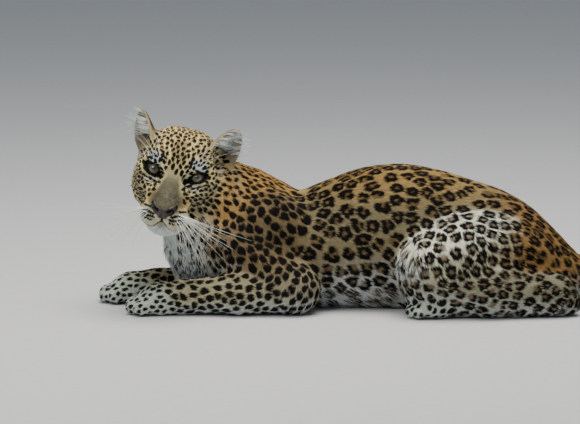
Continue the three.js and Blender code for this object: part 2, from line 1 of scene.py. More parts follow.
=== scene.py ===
# %% [markdown]
# # A leopard resting on its belly
# The subject is a still, life-size leopard: head raised and turned to its left, forepaws forward,
# hind legs folded, tail along the ground. The solids of the frame give its outline. This script
# builds what one sees: one skin with lids, lips, nostrils and ears, the short coat in tufts over it,
# rosettes and spots, wet eyes, nose leather and whiskers. Lengths are in millimetres until a mesh
# is made, where they turn into metres.

import math

import bpy
import numpy as np
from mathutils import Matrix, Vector
from mathutils.kdtree import KDTree


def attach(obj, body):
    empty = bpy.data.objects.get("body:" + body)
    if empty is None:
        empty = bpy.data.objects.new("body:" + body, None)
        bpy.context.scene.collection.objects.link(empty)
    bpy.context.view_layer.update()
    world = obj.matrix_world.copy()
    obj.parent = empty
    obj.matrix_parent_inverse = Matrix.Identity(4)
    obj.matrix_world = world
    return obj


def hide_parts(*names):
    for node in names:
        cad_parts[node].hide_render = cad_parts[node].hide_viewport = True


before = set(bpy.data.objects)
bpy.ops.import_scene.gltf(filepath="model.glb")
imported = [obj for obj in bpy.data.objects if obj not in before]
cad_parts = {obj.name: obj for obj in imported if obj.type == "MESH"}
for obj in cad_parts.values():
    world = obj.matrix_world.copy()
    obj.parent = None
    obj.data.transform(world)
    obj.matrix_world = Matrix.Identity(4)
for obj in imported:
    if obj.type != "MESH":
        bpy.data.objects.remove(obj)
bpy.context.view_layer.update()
rng = np.random.default_rng(11)

# %% [markdown]
# ## The forms under the skin
# A body is a blend of simple forms: rods for bones with their muscle, eggs for the skull, shoulders
# and thighs, one loft for the trunk and a rope for the tail. Each knows its distance to a point, so
# that a soft minimum over all of them is one smooth body. A modelled or scanned mesh could serve as
# well, but it couldn't share its measurements with the solids, and this can. Each form also says
# which way the hair lies on it.

# %% Axes of the head
EYES_MIDDLE = np.array((-198.0, -100.0, 245.0))
FACE_FORWARD = np.array((-0.148, -0.976, -0.159))
FACE_LEFT = np.array((0.969, -0.116, -0.190))


def unit(v):
    v = np.asarray(v, float)
    return v / np.maximum(np.linalg.norm(v, axis=-1, keepdims=True), 1e-9)


FORWARD = unit(FACE_FORWARD)
LEFT = unit(FACE_LEFT - FORWARD * (FACE_LEFT @ FORWARD))
UP = np.cross(FORWARD, LEFT)
HEAD = np.array((FORWARD, LEFT, UP))


def on_head(f, l, u):
    """The point at a distance forward, left and up of the middle between the eyes."""
    return EYES_MIDDLE + f * FORWARD + l * LEFT + u * UP


def head_places(p):
    """Points as forward, left and up of the middle between the eyes."""
    return (p - EYES_MIDDLE) @ HEAD.T


print("the face looks along", FORWARD.round(3))


# %% Soft joins
def soft_union(a, b, soft):
    h = np.maximum(soft - np.abs(a - b), 0.0) / soft
    return np.minimum(a, b) - h * h * soft / 4


def soft_cut(a, b, soft):
    """What is left of a where b is taken out."""
    return -soft_union(-a, b, soft)


def soft_both(a, b, soft):
    """Only what lies in a and in b."""
    return -soft_union(-a, -b, soft)


print("two walls 2 mm off join at", soft_union(2.0, 2.0, 8.0), "mm")


# %% Rods and eggs
class Rod:
    """A rod of round section between two balls."""

    def __init__(self, a, b, radius_a, radius_b, soft, lie=None):
        self.a = np.array(a, float)
        self.b = np.array(b, float)
        self.radius_a = radius_a
        self.radius_b = radius_b
        self.soft = soft
        self.lie = unit(self.b - self.a) if lie is None else unit(lie)
        reach = max(radius_a, radius_b)
        self.low = np.minimum(self.a, self.b) - reach
        self.high = np.maximum(self.a, self.b) + reach

    def distance(self, p):
        ab = self.b - self.a
        t = np.clip(((p - self.a) @ ab) / (ab @ ab), 0, 1)
        away = np.linalg.norm(p - self.a - t[..., None] * ab, axis=-1)
        return away - self.radius_a - (self.radius_b - self.radius_a) * t


class Egg:
    """An ellipsoid of three radii along three axes."""

    def __init__(self, center, radii, soft, axes=None, lie=(1, 0, -0.3)):
        self.center = np.array(center, float)
        self.radii = np.array(radii, float)
        self.soft = soft
        self.axes = np.eye(3) if axes is None else np.asarray(axes, float)
        self.lie = unit(lie)
        reach = np.sqrt(((self.axes * self.radii[:, None]) ** 2).sum(0))
        self.low = self.center - reach
        self.high = self.center + reach

    def distance(self, p):
        q = (p - self.center) @ self.axes.T
        k0 = np.linalg.norm(q / self.radii, axis=-1)
        k1 = np.linalg.norm(q / self.radii ** 2, axis=-1)
        return k0 * (k0 - 1.0) / np.maximum(k1, 1e-9)


# %% The loft of the trunk
def curve(stations, x, column):
    """A smooth curve through one column of the stations."""
    xs = stations[:, 0]
    ys = stations[:, column]
    slope = np.gradient(ys, xs)
    i = np.clip(np.searchsorted(xs, x) - 1, 0, len(xs) - 2)
    h = xs[i + 1] - xs[i]
    t = np.clip((x - xs[i]) / h, 0, 1)
    t2 = t * t
    t3 = t2 * t
    return ((2 * t3 - 3 * t2 + 1) * ys[i] + (t3 - 2 * t2 + t) * h * slope[i]
            + (3 * t2 - 2 * t3) * ys[i + 1] + (t3 - t2) * h * slope[i + 1])


class Trunk:
    """Elliptical sections along x: x, middle y, top z, bottom z, half width."""

    def __init__(self, stations, soft, lie):
        self.stations = np.array(stations, float)
        self.soft = soft
        self.lie = unit(lie)
        self.low = np.array((self.stations[0, 0], -150, -20))
        self.high = np.array((self.stations[-1, 0], 130, 260))

    def distance(self, p):
        x = np.clip(p[..., 0], self.stations[0, 0], self.stations[-1, 0])
        middle, top, bottom, half = (curve(self.stations, x, i) for i in (1, 2, 3, 4))
        high = np.maximum((top - bottom) / 2, 1.0)
        y = p[..., 1] - middle
        z = p[..., 2] - (top + bottom) / 2
        k0 = np.hypot(y / half, z / high)
        k1 = np.maximum(np.hypot(y / half ** 2, z / high ** 2), 1e-6)
        side = np.where(k0 < 1e-3, -np.minimum(high, half), k0 * (k0 - 1) / k1)
        past = np.abs(p[..., 0] - x)
        return np.where(past > 0, np.hypot(np.maximum(side, 0), past), side)


# %% Groups, chains and the rope of the tail
def of_group(name, *forms):
    """Marks forms as flesh of one group: its hair and marks go by that."""
    for form in forms:
        form.group = name
    return forms


def chain(points, soft, lie=None):
    """Rods end to end through points of x, y, z, radius."""
    return [Rod(a[:3], b[:3], a[3], b[3], soft, lie) for a, b in zip(points, points[1:])]


def smooth_path(points, steps):
    """Points along a smooth line through the points given."""
    pts = np.array(points, float)
    pts = np.vstack((2 * pts[0] - pts[1], pts, 2 * pts[-1] - pts[-2]))
    t = np.arange(steps)[:, None] / steps
    out = []
    for p0, p1, p2, p3 in zip(pts, pts[1:], pts[2:], pts[3:]):
        out.append(0.5 * (2 * p1 + (p2 - p0) * t + (2 * p0 - 5 * p1 + 4 * p2 - p3) * t ** 2
                          + (3 * p1 - p0 - 3 * p2 + p3) * t ** 3))
    return np.vstack((*out, pts[-2:-1]))


class Rope:
    """Rods end to end along a line, with no swelling where they meet."""

    def __init__(self, points, soft):
        self.rods = chain(points, soft)
        self.soft = soft
        self.low = np.min([r.low for r in self.rods], 0)
        self.high = np.max([r.high for r in self.rods], 0)

    def distance(self, p):
        return np.min([r.distance(p) for r in self.rods], 0)

    def lie_at(self, p):
        nearest = np.argmin([r.distance(p) for r in self.rods], 0)
        return np.array([r.lie for r in self.rods])[nearest]


# %% [markdown]
# ## Trunk, neck, legs and tail
# The numbers are those of the solids: a leopard of about 37 kg, a metre from forepaws to rump as it
# lies. The measurements came from the photo at one scale for the plane of the body, and what the
# photo hides, the far legs and the tail, from the species.

# %% The body's forms
BODY_MIDDLE_Y = -20
# The trunk's sections: x, middle y, top z, bottom z, half width
TRUNK = (
    (-150, -8, 160, 10, 28), (-120, -6, 184, -8, 62), (-60, -3, 194, -14, 92), (0, 0, 194, -16, 104),
    (60, 0, 216, -16, 108), (120, -2, 238, -16, 112), (190, -6, 247, -16, 116), (260, -10, 237, -16, 118),
    (320, -14, 219, -16, 120), (375, -18, 200, -14, 119), (420, -21, 173, -12, 112),
    (460, -24, 136, -8, 98), (495, -26, 98, 0, 74), (520, -27, 68, 10, 40),
)
# The tail's middle line and radius
TAIL = (
    (470, -26, 62, 36), (516, -22, 40, 31), (562, -8, 27, 28), (606, 22, 24, 25), (638, 74, 23, 24.5),
    (644, 136, 22, 23.5), (616, 196, 22, 23), (556, 240, 22, 22.5), (470, 264, 21, 22),
    (380, 274, 20.5, 21.5), (300, 270, 19, 20), (240, 258, 14, 15),
)


# Toes of a paw: how far across, how far back, radius
TOES = ((-23, 11, 11.5), (-8.5, 0, 13), (8.5, 0, 13), (23, 11, 11.5))


def paw(tip, heading, size):
    """A paw flat on the ground: tip lies below the longest toes, heading is in degrees."""
    ahead = np.array((math.cos(math.radians(heading)), math.sin(math.radians(heading)), 0.0))
    aside = np.array((-ahead[1], ahead[0], 0.0))
    tip = np.array((*tip, 0.0))

    def at(f, l, z):
        return tip + size * (f * ahead + l * aside + np.array((0, 0, z)))

    axes = (ahead, aside, (0, 0, 1))
    forms = [Egg(at(-52, 0, 19), np.array((36, 30, 24)) * size, 14, axes, ahead)]
    for across, back, radius in TOES:
        front = at(-14 - back, across, 12)
        rear = at(-40 - back, across * 0.8, 22)
        forms.append(Rod(front, rear, radius * size, 11.5 * size, 7, ahead + (0, 0, -0.4)))
    return forms


def hind_leg(side):
    """side is -1 for the near leg and 1 for the far one."""
    def y(v):
        return BODY_MIDDLE_Y + side * v

    return [
        *of_group("thigh", Egg((322, y(80), 94), (136, 66, 83), 18, lie=(0.75, 0, -0.65)),
                  *chain(((300, y(98), 98, 68), (244, y(112), 86, 58)), 20, (0.2, 0, -1))),
        *of_group("shank",
                  *chain(((244, y(112), 62, 58), (340, y(122), 48, 46), (455, y(112), 38, 38)), 16),
                  *chain(((478, y(112), 24, 26), (390, y(128), 20, 20), (290, y(132), 20, 20)), 12)),
        *of_group("paw", *paw((196, y(130)), 180 + side * 2, 1.05)),
    ]


body = [
    *of_group("trunk", Trunk(TRUNK, 20, (1, 0, -0.35))),
    *of_group("neck", *chain(((-36, 0, 150, 64), (-66, -4, 155, 75), (-104, -10, 169, 74),
                              (-135, -18, 188, 68), (-165, -32, 213, 60)), 24, (0.62, 0.1, -0.78))),
    *of_group("breast", Egg((-118, -14, 92), (93, 78, 90), 30, lie=(0.1, 0, -1)),
              *chain(((-168, -48, 112, 50), (-180, -72, 158, 42)), 26, (0.15, 0.1, -1))),
    *of_group("shoulder", Egg((-38, -66, 138), (74, 48, 66), 24, lie=(0.45, 0, -0.9)),
              *chain(((-92, -84, 106, 50), (6, -112, 43, 45)), 20, (0.5, 0, -0.8)),
              Egg((-30, 62, 138), (72, 46, 66), 24, lie=(0.45, 0, -0.9)),
              *chain(((-95, 72, 106, 50), (8, 104, 43, 45)), 20, (0.5, 0, -0.8))),
    *of_group("arm",
              *chain(((6, -112, 43, 45), (-90, -120, 37, 38), (-185, -116, 29, 30),
                      (-225, -112, 27, 28)), 14),
              *chain(((8, 104, 43, 45), (-110, 60, 36, 37), (-235, 10, 28, 29),
                      (-275, 6, 26, 27)), 14)),
    *of_group("paw", *paw((-286, -112), 178, 1.2), *paw((-337, 2), 184, 1.2)),
    *hind_leg(-1),
    *hind_leg(1),
    *of_group("tail", Rope(smooth_path(TAIL, 4), 18)),
]
print("forms of the body", len(body))

# %% [markdown]
# ## The head
# A leopard's head is a round braincase, wide cheekbones, a short deep muzzle with two whisker pads
# and a strong chin. The brows stand over the eyes, and the bridge of the nose is broad and nearly
# straight. The head matters most, so it has the most forms, each small.

# %% The head's forms
def head_egg(f, l, u, rf, rl, ru, soft, pitch=0.0, yaw=0.0):
    """An egg on the head: place, radii, softness, and how far it is turned, in degrees."""
    cp, sp = math.cos(math.radians(pitch)), math.sin(math.radians(pitch))
    cy, sy = math.cos(math.radians(yaw)), math.sin(math.radians(yaw))
    ahead = np.array((cp * cy, cp * sy, sp))
    aside = np.array((-sy, cy, 0.0))
    axes = np.array((ahead, aside, np.cross(ahead, aside))) @ HEAD
    return Egg(on_head(f, l, u), (rf, rl, ru), soft, axes, -FORWARD)


def head_rod(a, b, radius_a, radius_b, soft):
    return Rod(on_head(*a), on_head(*b), radius_a, radius_b, soft, -FORWARD)


head = [
    head_egg(-62, 0, -2, 70, 60, 62, 20),
    head_egg(-58, 26, 2, 60, 40, 54, 18),
    head_egg(-58, -26, 2, 60, 40, 54, 18),
    head_egg(-24, 0, 4, 36, 50, 34, 18, -25),
    head_egg(30, 0, -44, 54, 37, 28, 14, -12),
]
for s in (-1, 1):
    head += [
        head_rod((-8, s * 11, -2), (70, s * 9, -41), 18, 13, 12),
        head_egg(16, s * 22, -28, 36, 20, 20, 12, -20),
        head_egg(-2, s * 42, -27, 28, 22, 20, 14),
        head_egg(-34, s * 41, -22, 44, 32, 40, 16),
        head_egg(56, s * 20, -60, 27, 22, 24, 6, -12, s * 8),
        head_rod((-45, s * 38, -58), (36, s * 15, -79), 30, 17, 14),
        head_egg(-66, s * 46, -44, 42, 34, 46, 20),
        head_egg(-10, s * 33, 15, 17, 20, 9, 10, 0, s * 25),
    ]
head += [
    head_egg(44, 0, -87, 24, 27, 14, 9),
    head_egg(80, 0, -43, 10, 19, 11, 5, -25),
    head_rod((-70, 0, -55), (-95, 0, -90), 52, 55, 24),
]
print("forms of the head", len(head))

# %% [markdown]
# ## Eyes' beds, lids, ears, nostrils and mouth
# Each eye is a ball in a ball of lid, which a wedge opens from corner to corner. The corners lie on
# a slant, as in every cat: the inner one low by the nose, the outer one high. An ear is a cupped
# leaf, open forwards and outwards.

# %% Lids
EYE_RADIUS = 15.0
LID_THICK = 3.2
EYE_HALF_SPACING = 38.2
EYE_BACK = -9
EYE_LOW = -4.5
# How far the upper and lower lid open, in degrees, on the right (-1) and left (1) eye
LID_ANGLES = {-1: (45, 40), 1: (37, 38)}
SLIT_FORWARD = 5
SLIT_REACH = 7


def eye_middle(side):
    return on_head(EYE_BACK, side * EYE_HALF_SPACING, EYE_LOW)


def eye_axes(side):
    """Corner to corner outwards, the way it faces, and upwards."""
    corner = unit(-0.25 * FORWARD + side * 0.84 * LEFT + 0.4 * UP)
    facing = 0.95 * FORWARD + side * 0.02 * LEFT + 0.2 * UP
    facing = unit(facing - corner * (facing @ corner))
    return corner, facing, np.cross(corner, facing) * -side


class LidBall:
    """A ball round the middle of an eye."""

    def __init__(self, side, radius, soft):
        self.center = eye_middle(side)
        self.radius = radius
        self.soft = soft
        self.lie = -FORWARD
        self.low = self.center - radius
        self.high = self.center + radius

    def distance(self, p):
        return np.linalg.norm(p - self.center, axis=-1) - self.radius


class LidOpening:
    """The slit between the lids, a wedge that opens forwards."""

    def __init__(self, side, soft):
        self.center = eye_middle(side)
        self.corner, self.facing, self.up = eye_axes(side)
        self.angles = np.radians(LID_ANGLES[side])
        self.soft = soft
        self.reach = EYE_RADIUS + SLIT_REACH
        self.low = self.center - self.reach - 2
        self.high = self.center + self.reach + 2

    def wedge(self, p):
        """How far a point lies outside the two planes of the slit."""
        q = p - self.center
        f = q @ self.facing - SLIT_FORWARD
        u = q @ self.up
        upper, lower = self.angles
        return np.maximum(u * math.cos(upper) - f * math.sin(upper),
                          -u * math.cos(lower) - f * math.sin(lower))

    def distance(self, p):
        return np.maximum(self.wedge(p), np.linalg.norm(p - self.center, axis=-1) - self.reach)


print("middle of the left eye", eye_middle(1).round(1))


# %% Ears
EAR_HIGH = 56.0
EAR_HALF = 30.0
EAR_DEEP = 22.0
EAR_THICK = 7.0
EAR_REACH = 75.0
# Which way each cup opens, on the head's axes
EAR_OPENS = {-1: (0.60, -0.80, 0), 1: (0.80, 0.60, 0)}


class Ear:
    """A cupped leaf: high, half as wide, deep in the middle."""

    def __init__(self, side):
        self.soft = 10
        self.base = on_head(-52, side * 66, 24)
        self.up = unit(-0.14 * FORWARD + side * 0.56 * LEFT + 0.84 * UP)
        opens = np.array(EAR_OPENS[side]) @ HEAD
        self.opens = unit(opens - self.up * (opens @ self.up))
        self.across = np.cross(self.up, self.opens)
        self.lie = self.up
        self.low = self.base - EAR_REACH
        self.high = self.base + EAR_REACH

    def leaf(self, p):
        """Across and up the leaf, and how far in front of its sheet."""
        q = p - self.base
        x = q @ self.across
        v = q @ self.up
        rise = np.clip(v / EAR_HIGH, 0, 1)
        deep = EAR_DEEP * (1 - 0.55 * rise)
        sheet = -deep * (1 - (x / EAR_HALF) ** 2) - 7 * rise * rise
        return x, v, q @ self.opens - sheet, rise, deep

    def distance(self, p):
        x, v, front, rise, deep = self.leaf(p)
        slope = np.sqrt(1 + (2 * deep * x / EAR_HALF ** 2) ** 2)
        wall = np.abs(front) / slope - EAR_THICK / 2 * (1.25 - 0.5 * rise)
        high = np.maximum(v, 0) / EAR_HIGH
        k0 = np.hypot(x / EAR_HALF, high)
        k1 = np.maximum(np.hypot(x / EAR_HALF ** 2, high / EAR_HIGH), 1e-6)
        edge = np.maximum(k0 * (k0 - 1) / k1, -v - 22)
        return soft_both(wall, edge, 5.0)


ears = [Ear(-1), Ear(1)]
print("root of the left ear", ears[1].base.round(1))


# %% Nostrils and the line of the mouth
NOSTRIL = (86, 14, -40)
PHILTRUM = ((85, 0, -54), (80.5, 0, -61), (73, 0, -68))
LIP_LINE = ((72, -1, -69), (71, 12, -78), (71, 24, -80), (62, 32.5, -79), (46, 35.5, -77),
            (32, 36.5, -71), (22, 42, -66))


def groove(points, side, radius):
    """A thin rope along a line of the head, to cut with."""
    path = smooth_path([(f, side * l, u) for f, l, u in points], 3)
    return Rope([(*on_head(*p), radius) for p in path], 2.5)


def nostril(side):
    f, l, u = NOSTRIL
    inner = (f + 1, side * (l - 3.5), u - 2.5)
    outer = (f - 4, side * (l + 5), u + 2)
    return head_rod(inner, outer, 3.2, 2.0, 2)


eye_hollows = [head_egg(17, s * 36, -6, 12, 20, 12, 10) for s in (-1, 1)]
ear_pits = [head_egg(-40, s * 66, 18, 12, 10, 12, 8) for s in (-1, 1)]
nostrils = [nostril(s) for s in (-1, 1)]
lips = [groove(PHILTRUM, 1, 1.5), groove(LIP_LINE, 1, 1.7), groove(LIP_LINE, -1, 1.7)]
hollows = [*lips, *ear_pits, *nostrils]
lids = [LidBall(s, EYE_RADIUS + LID_THICK, 7) for s in (-1, 1)]
eye_beds = [cut for s in (-1, 1) for cut in (LidBall(s, EYE_RADIUS + 0.5, 0.6), LidOpening(s, 1.5))]
forms = body + head + ears + lids
print("forms of the whole", len(forms))

# %% [markdown]
# ## One skin
# The skin lies inside the solids by the depth of the coat: thin on the face and feet, thicker on the
# body. It is meshed by surface nets on a grid whose steps are small only round the face, so the lids
# and lips are sharp and the flank isn't wastefully fine. One mesh has no seams between the solids'
# nodes.

# %% Field on a grid
def ticks(stops, end):
    """Grid places: stops are (from, step)."""
    out = []
    for (start, step), (stop, _) in zip(stops, [*stops[1:], (end, 0)]):
        count = max(round((stop - start) / step), 1)
        out += list(start + (stop - start) * np.arange(count) / count)
    return np.array([*out, end])


XS = ticks([(-352, 4.4), (-290, 2.2), (-262, 1.35), (-132, 2.4), (-80, 4.6)], 690)
YS = ticks([(-215, 2.4), (-204, 1.45), (-80, 2.3), (40, 4.6)], 312)
ZS = ticks([(-4, 4.2), (110, 2.2), (156, 1.5), (264, 2.2), (336, 4)], 356)


FAR_OUT = 1e3
BLEND_REACH = 12
GROUND_GAP = 1.2


def grid_points(*axes):
    return np.stack(np.meshgrid(*axes, indexing="ij"), -1)


def blend(form, field, join):
    """Joins one form into the part of the field near it."""
    reach = form.soft + BLEND_REACH
    spans = []
    for axis, places in enumerate((XS, YS, ZS)):
        first = np.searchsorted(places, form.low[axis] - reach)
        last = np.searchsorted(places, form.high[axis] + reach)
        spans.append(slice(first, last))
    spans = tuple(spans)
    grid = grid_points(XS[spans[0]], YS[spans[1]], ZS[spans[2]])
    if grid.size:
        field[spans] = join(field[spans], form.distance(grid), form.soft)


def coat_depth(p):
    """How far the skin lies inside the solids."""
    off_face = np.clip((np.linalg.norm(p - on_head(10, 0, -30), axis=-1) - 75) / 90, 0, 1)
    depth = 1.4 + 1.8 * off_face
    low_paw = np.clip((p[..., 2] - 20) / 50, 0, 1)
    return np.where(p[..., 0] < -215, np.minimum(depth, 1.8 + 1.4 * low_paw), depth)


field = np.full((len(XS), len(YS), len(ZS)), FAR_OUT)
for form in body + head:
    blend(form, field, soft_union)
for form in eye_hollows:
    blend(form, field, soft_cut)
grid = grid_points(XS, YS, ZS)
field += coat_depth(grid)
for form in lids + ears:
    blend(form, field, soft_union)
for form in hollows + eye_beds:
    blend(form, field, soft_cut)
field = soft_both(field, GROUND_GAP - grid[..., 2], 3.0)
del grid
print("grid", field.shape)


# %% Surface nets
def surface_nets(field, axes):
    """One vertex in each cell that the surface crosses, one square for each crossed edge."""
    inside = field < 0
    counts = field.shape
    corners = [(i, j, k) for i in (0, 1) for j in (0, 1) for k in (0, 1)]
    filled = np.zeros([n - 1 for n in counts], np.int8)
    for c in corners:
        filled += inside[tuple(slice(o, n - 1 + o) for o, n in zip(c, counts))]
    crossed = (filled > 0) & (filled < 8)
    cells = np.argwhere(crossed)
    index = np.full(crossed.shape, -1, np.int64)
    index[crossed] = np.arange(len(cells))
    total = np.zeros((len(cells), 3))
    number = np.zeros(len(cells))
    for axis in range(3):
        for start in [c for c in corners if not c[axis]]:
            end = list(start)
            end[axis] = 1
            value_a = field[tuple((cells + start).T)]
            value_b = field[tuple((cells + end).T)]
            hit = (value_a < 0) != (value_b < 0)
            t = np.where(hit, value_a / np.where(hit, value_a - value_b, 1), 0)
            point = np.empty((len(cells), 3))
            for n in range(3):
                low = axes[n][cells[:, n] + start[n]]
                point[:, n] = low + (axes[n][cells[:, n] + end[n]] - low) * t
            total += np.where(hit[:, None], point, 0)
            number += hit
    squares = []
    for a in range(3):
        b, c = (a + 1) % 3, (a + 2) % 3
        low = [slice(None)] * 3
        high = [slice(None)] * 3
        low[a] = slice(0, -1)
        high[a] = slice(1, None)
        edges = np.argwhere(inside[tuple(low)] != inside[tuple(high)])
        inner = (edges[:, b] > 0) & (edges[:, c] > 0)
        inner &= (edges[:, b] < index.shape[b]) & (edges[:, c] < index.shape[c])
        edges = edges[inner]
        outward = inside[tuple(edges.T)]
        ring = []
        for back_b, back_c in ((1, 1), (0, 1), (0, 0), (1, 0)):
            e = edges.copy()
            e[:, b] -= back_b
            e[:, c] -= back_c
            ring.append(index[tuple(e.T)])
        ring = np.stack(ring, 1)
        squares.append(np.where(outward[:, None], ring, ring[:, ::-1]))
    return total / number[:, None], np.concatenate(squares)


def corner_normals(points, squares):
    """The normal at each point: the mean of the squares round it."""
    p = points[squares]
    normal = np.cross(p[:, 2] - p[:, 0], p[:, 3] - p[:, 1])
    out = np.zeros_like(points)
    for n in range(4):
        np.add.at(out, squares[:, n], normal)
    return unit(out)


skin_points, skin_squares = surface_nets(field, (XS, YS, ZS))
skin_normals = corner_normals(skin_points, skin_squares)
print("skin", len(skin_points), "points", len(skin_squares), "squares")


# %% Mesh helper
def new_mesh(name, points, faces, smooth=True):
    """A mesh object from points in millimetres and faces of one size."""
    mesh = bpy.data.meshes.new(name)
    faces = np.asarray(faces)
    mesh.vertices.add(len(points))
    mesh.vertices.foreach_set("co", (np.asarray(points) / 1000).astype(np.float32).ravel())
    mesh.loops.add(faces.size)
    mesh.loops.foreach_set("vertex_index", faces.astype(np.int32).ravel())
    mesh.polygons.add(len(faces))
    mesh.polygons.foreach_set("loop_start", np.arange(0, faces.size, faces.shape[1], dtype=np.int32))
    mesh.polygons.foreach_set("use_smooth", np.full(len(faces), smooth))
    mesh.update(calc_edges=True)
    mesh.validate()
    piece = bpy.data.objects.new(name, mesh)
    bpy.context.scene.collection.objects.link(piece)
    return piece

# %% [markdown]
# ## Where the hair lies and what it looks like
# Each group of forms has its own hair: how long it is, how far it lies from the skin, its ground
# colour and its spots. Near a border both groups count by how near they are, so nothing changes
# abruptly. Ready-made maps painted by hand would be the usual way, but this one needs no image.

# %% The groups
TAN = (0.42, 0.27, 0.095)
GOLD = (0.51, 0.295, 0.09)
# Buff of flank and tail, darkened part way by painted shade
BUFF_WITH_PAINTED_SHADE = (0.26, 0.21, 0.113)
SAND = (0.44, 0.385, 0.235)
CREAM = (0.54, 0.525, 0.36)
WHITE = (0.68, 0.72, 0.70)
GREY_BROWN = (0.145, 0.13, 0.083)
BLACK = (0.004, 0.0035, 0.0035)
ROSETTE_BROWN = (0.14, 0.083, 0.032)

# Hair length, lift in degrees, colour, gap between marks, radius of a mark, its stretch,
# and 1 where the marks are rings
GROUPS = {
    "head": (4.6, 12, (0.84, 0.71, 0.36), 7.3, 4.4, 1.8, 0),
    "neck": (8.0, 11, GOLD, 11.0, 5.9, 1.5, 0),
    # The breast's colour is lightened in part by painted light, to make up for its shade
    "breast": (11.0, 16, (0.66, 0.54, 0.31), 13.0, 6.6, 1.4, 0),
    # The trunk's buff is partly painted shade, and so is the tail's
    "trunk": (9.0, 10, BUFF_WITH_PAINTED_SHADE, 21.5, 14.8, 1.1, 1),
    # The shoulder's dark brown is painted shade
    "shoulder": (8.0, 10, (0.21, 0.148, 0.074), 14.0, 8.6, 1.25, 0),
    "arm": (7.0, 11, SAND, 13.2, 7.2, 1.4, 0),
    "paw": (4.8, 12, (0.62, 0.68, 0.58), 9.6, 4.2, 1.3, 0),
    "thigh": (9.5, 11, CREAM, 19.0, 14.6, 1.15, 1),
    "shank": (8.0, 11, (0.31, 0.29, 0.19), 16.8, 12.4, 1.2, 1),
    "tail": (11.0, 14, BUFF_WITH_PAINTED_SHADE, 17.0, 9.5, 1.3, 0),
    "ear": (4.0, 14, (0.42, 0.34, 0.20), 8.0, 4.0, 1.7, 0),
}
# Where each value stands in a row once the colour is spread out
LENGTH, LIFT, COLOUR, GAP, RADIUS, STRETCH, RING = 0, 1, slice(2, 5), 5, 6, 7, 8
of_group("head", *head, *lids)
# The rod from the braincase down into the throat counts as neck
of_group("neck", head[-1])
of_group("ear", *ears)
GROUP_NAMES = list(GROUPS)
TRAITS = np.array([[v for item in row for v in np.atleast_1d(item)] for row in GROUPS.values()])
GROUP_REACH = 24
GROUP_FADE = 6.5


def by_group(share):
    return {name: share[:, n] for n, name in enumerate(GROUP_NAMES)}


def character(p, normal):
    """For each point: the way the hair lies, the blended traits, and each group's share."""
    lie = np.zeros_like(p)
    share = np.zeros((len(p), len(GROUPS)))
    for form in forms:
        near = np.all((p > form.low - GROUP_REACH) & (p < form.high + GROUP_REACH), axis=1)
        q = p[near]
        if not len(q):
            continue
        weight = np.exp(-np.clip(form.distance(q), -4, 40) / GROUP_FADE)
        way = form.lie_at(q) if isinstance(form, Rope) else form.lie
        lie[near] += weight[:, None] * way
        share[near, GROUP_NAMES.index(form.group)] += weight
    share /= np.maximum(share.sum(1, keepdims=True), 1e-12)
    away = unit(p - on_head(62, 0, -22))
    of_head = share[:, GROUP_NAMES.index("head")][:, None]
    lie = unit(lie) * (1 - of_head) + away * of_head
    lie = lie - normal * (lie * normal).sum(1, keepdims=True)
    return unit(lie), share @ TRAITS, share


skin_lie, skin_traits, skin_share = character(skin_points, skin_normals)
print("share of skin by group", dict(zip(GROUP_NAMES, skin_share.mean(0).round(3))))

# %% [markdown]
# ## Roots of the hair
# Roots are spread over the skin at random, denser where the hair is short. Each takes the skin's
# normal and lie at its place.

# %% Roots
COAT_TUFTS = 325000
CROWDING = 1.35
tri = np.vstack((skin_squares[:, [0, 1, 2]], skin_squares[:, [0, 2, 3]]))
corner = skin_points[tri]
area = np.linalg.norm(np.cross(corner[:, 1] - corner[:, 0], corner[:, 2] - corner[:, 0]), axis=1) / 2
length_at = skin_traits[:, LENGTH][tri].mean(1)
middle = corner.mean(1)
print("skin area, square metres", round(area.sum() / 1e6, 3))


def eye_gap(p):
    """How far each point is from the middle of the nearer eye."""
    return np.min([np.linalg.norm(p - eye_middle(s), axis=-1) for s in (-1, 1)], 0)


def nose_leather(p):
    """Above 0 on the nose leather, by about how many millimetres inside its outline."""
    f, l, u = np.moveaxis(head_places(p), -1, 0)
    half = 20.5 - 13.5 * np.clip((-39 - u) / 18, 0, 1) ** 0.9
    top = -39 + 7 * np.clip(np.abs(l) / 18, 0, 1) ** 2
    inside = np.minimum(half - np.abs(l), np.minimum(top - u, u + 58.5))
    return np.minimum(inside, (f - 70) * 2)


def spread_roots(count, weight):
    """Random places on the skin: triangle, and shares of its corners."""
    chance = area * weight
    number = rng.multinomial(count, chance / chance.sum())
    which = np.repeat(np.arange(len(tri)), number)
    a = np.sqrt(rng.random(len(which)))
    b = rng.random(len(which))
    return which, np.stack((1 - a, a * (1 - b), a * b), 1)


def on_roots(values, which, shares):
    """What the skin's points have, carried to places on its triangles."""
    picked = values[tri[which]]
    if picked.ndim == 2:
        return (picked * shares).sum(1)
    return (picked * shares[:, :, None]).sum(1)


class Roots:
    """Places on the skin with what the skin has there."""

    def __init__(self, count, weight):
        which, shares = spread_roots(count, weight)
        self.places = on_roots(skin_points, which, shares)
        self.normals = unit(on_roots(skin_normals, which, shares))
        self.lie = unit(on_roots(skin_lie, which, shares))
        self.traits = on_roots(skin_traits, which, shares)
        self.share = on_roots(skin_share, which, shares)

    def __len__(self):
        return len(self.places)

    def turned(self, spread, some=slice(None)):
        """The way the hair lies, turned at random on the skin, by about spread radians."""
        lie = self.lie[some]
        turn = rng.normal(0, spread, len(lie))[:, None]
        return lie * np.cos(turn) + np.cross(self.normals[some], lie) * np.sin(turn)


bare = (nose_leather(middle) > 0) | (eye_gap(middle) < EYE_RADIUS + 2.2) | (middle[:, 2] < 2.0)
coat_roots = Roots(COAT_TUFTS, np.where(bare, 0, 1 / length_at ** CROWDING))
print("roots", len(coat_roots))

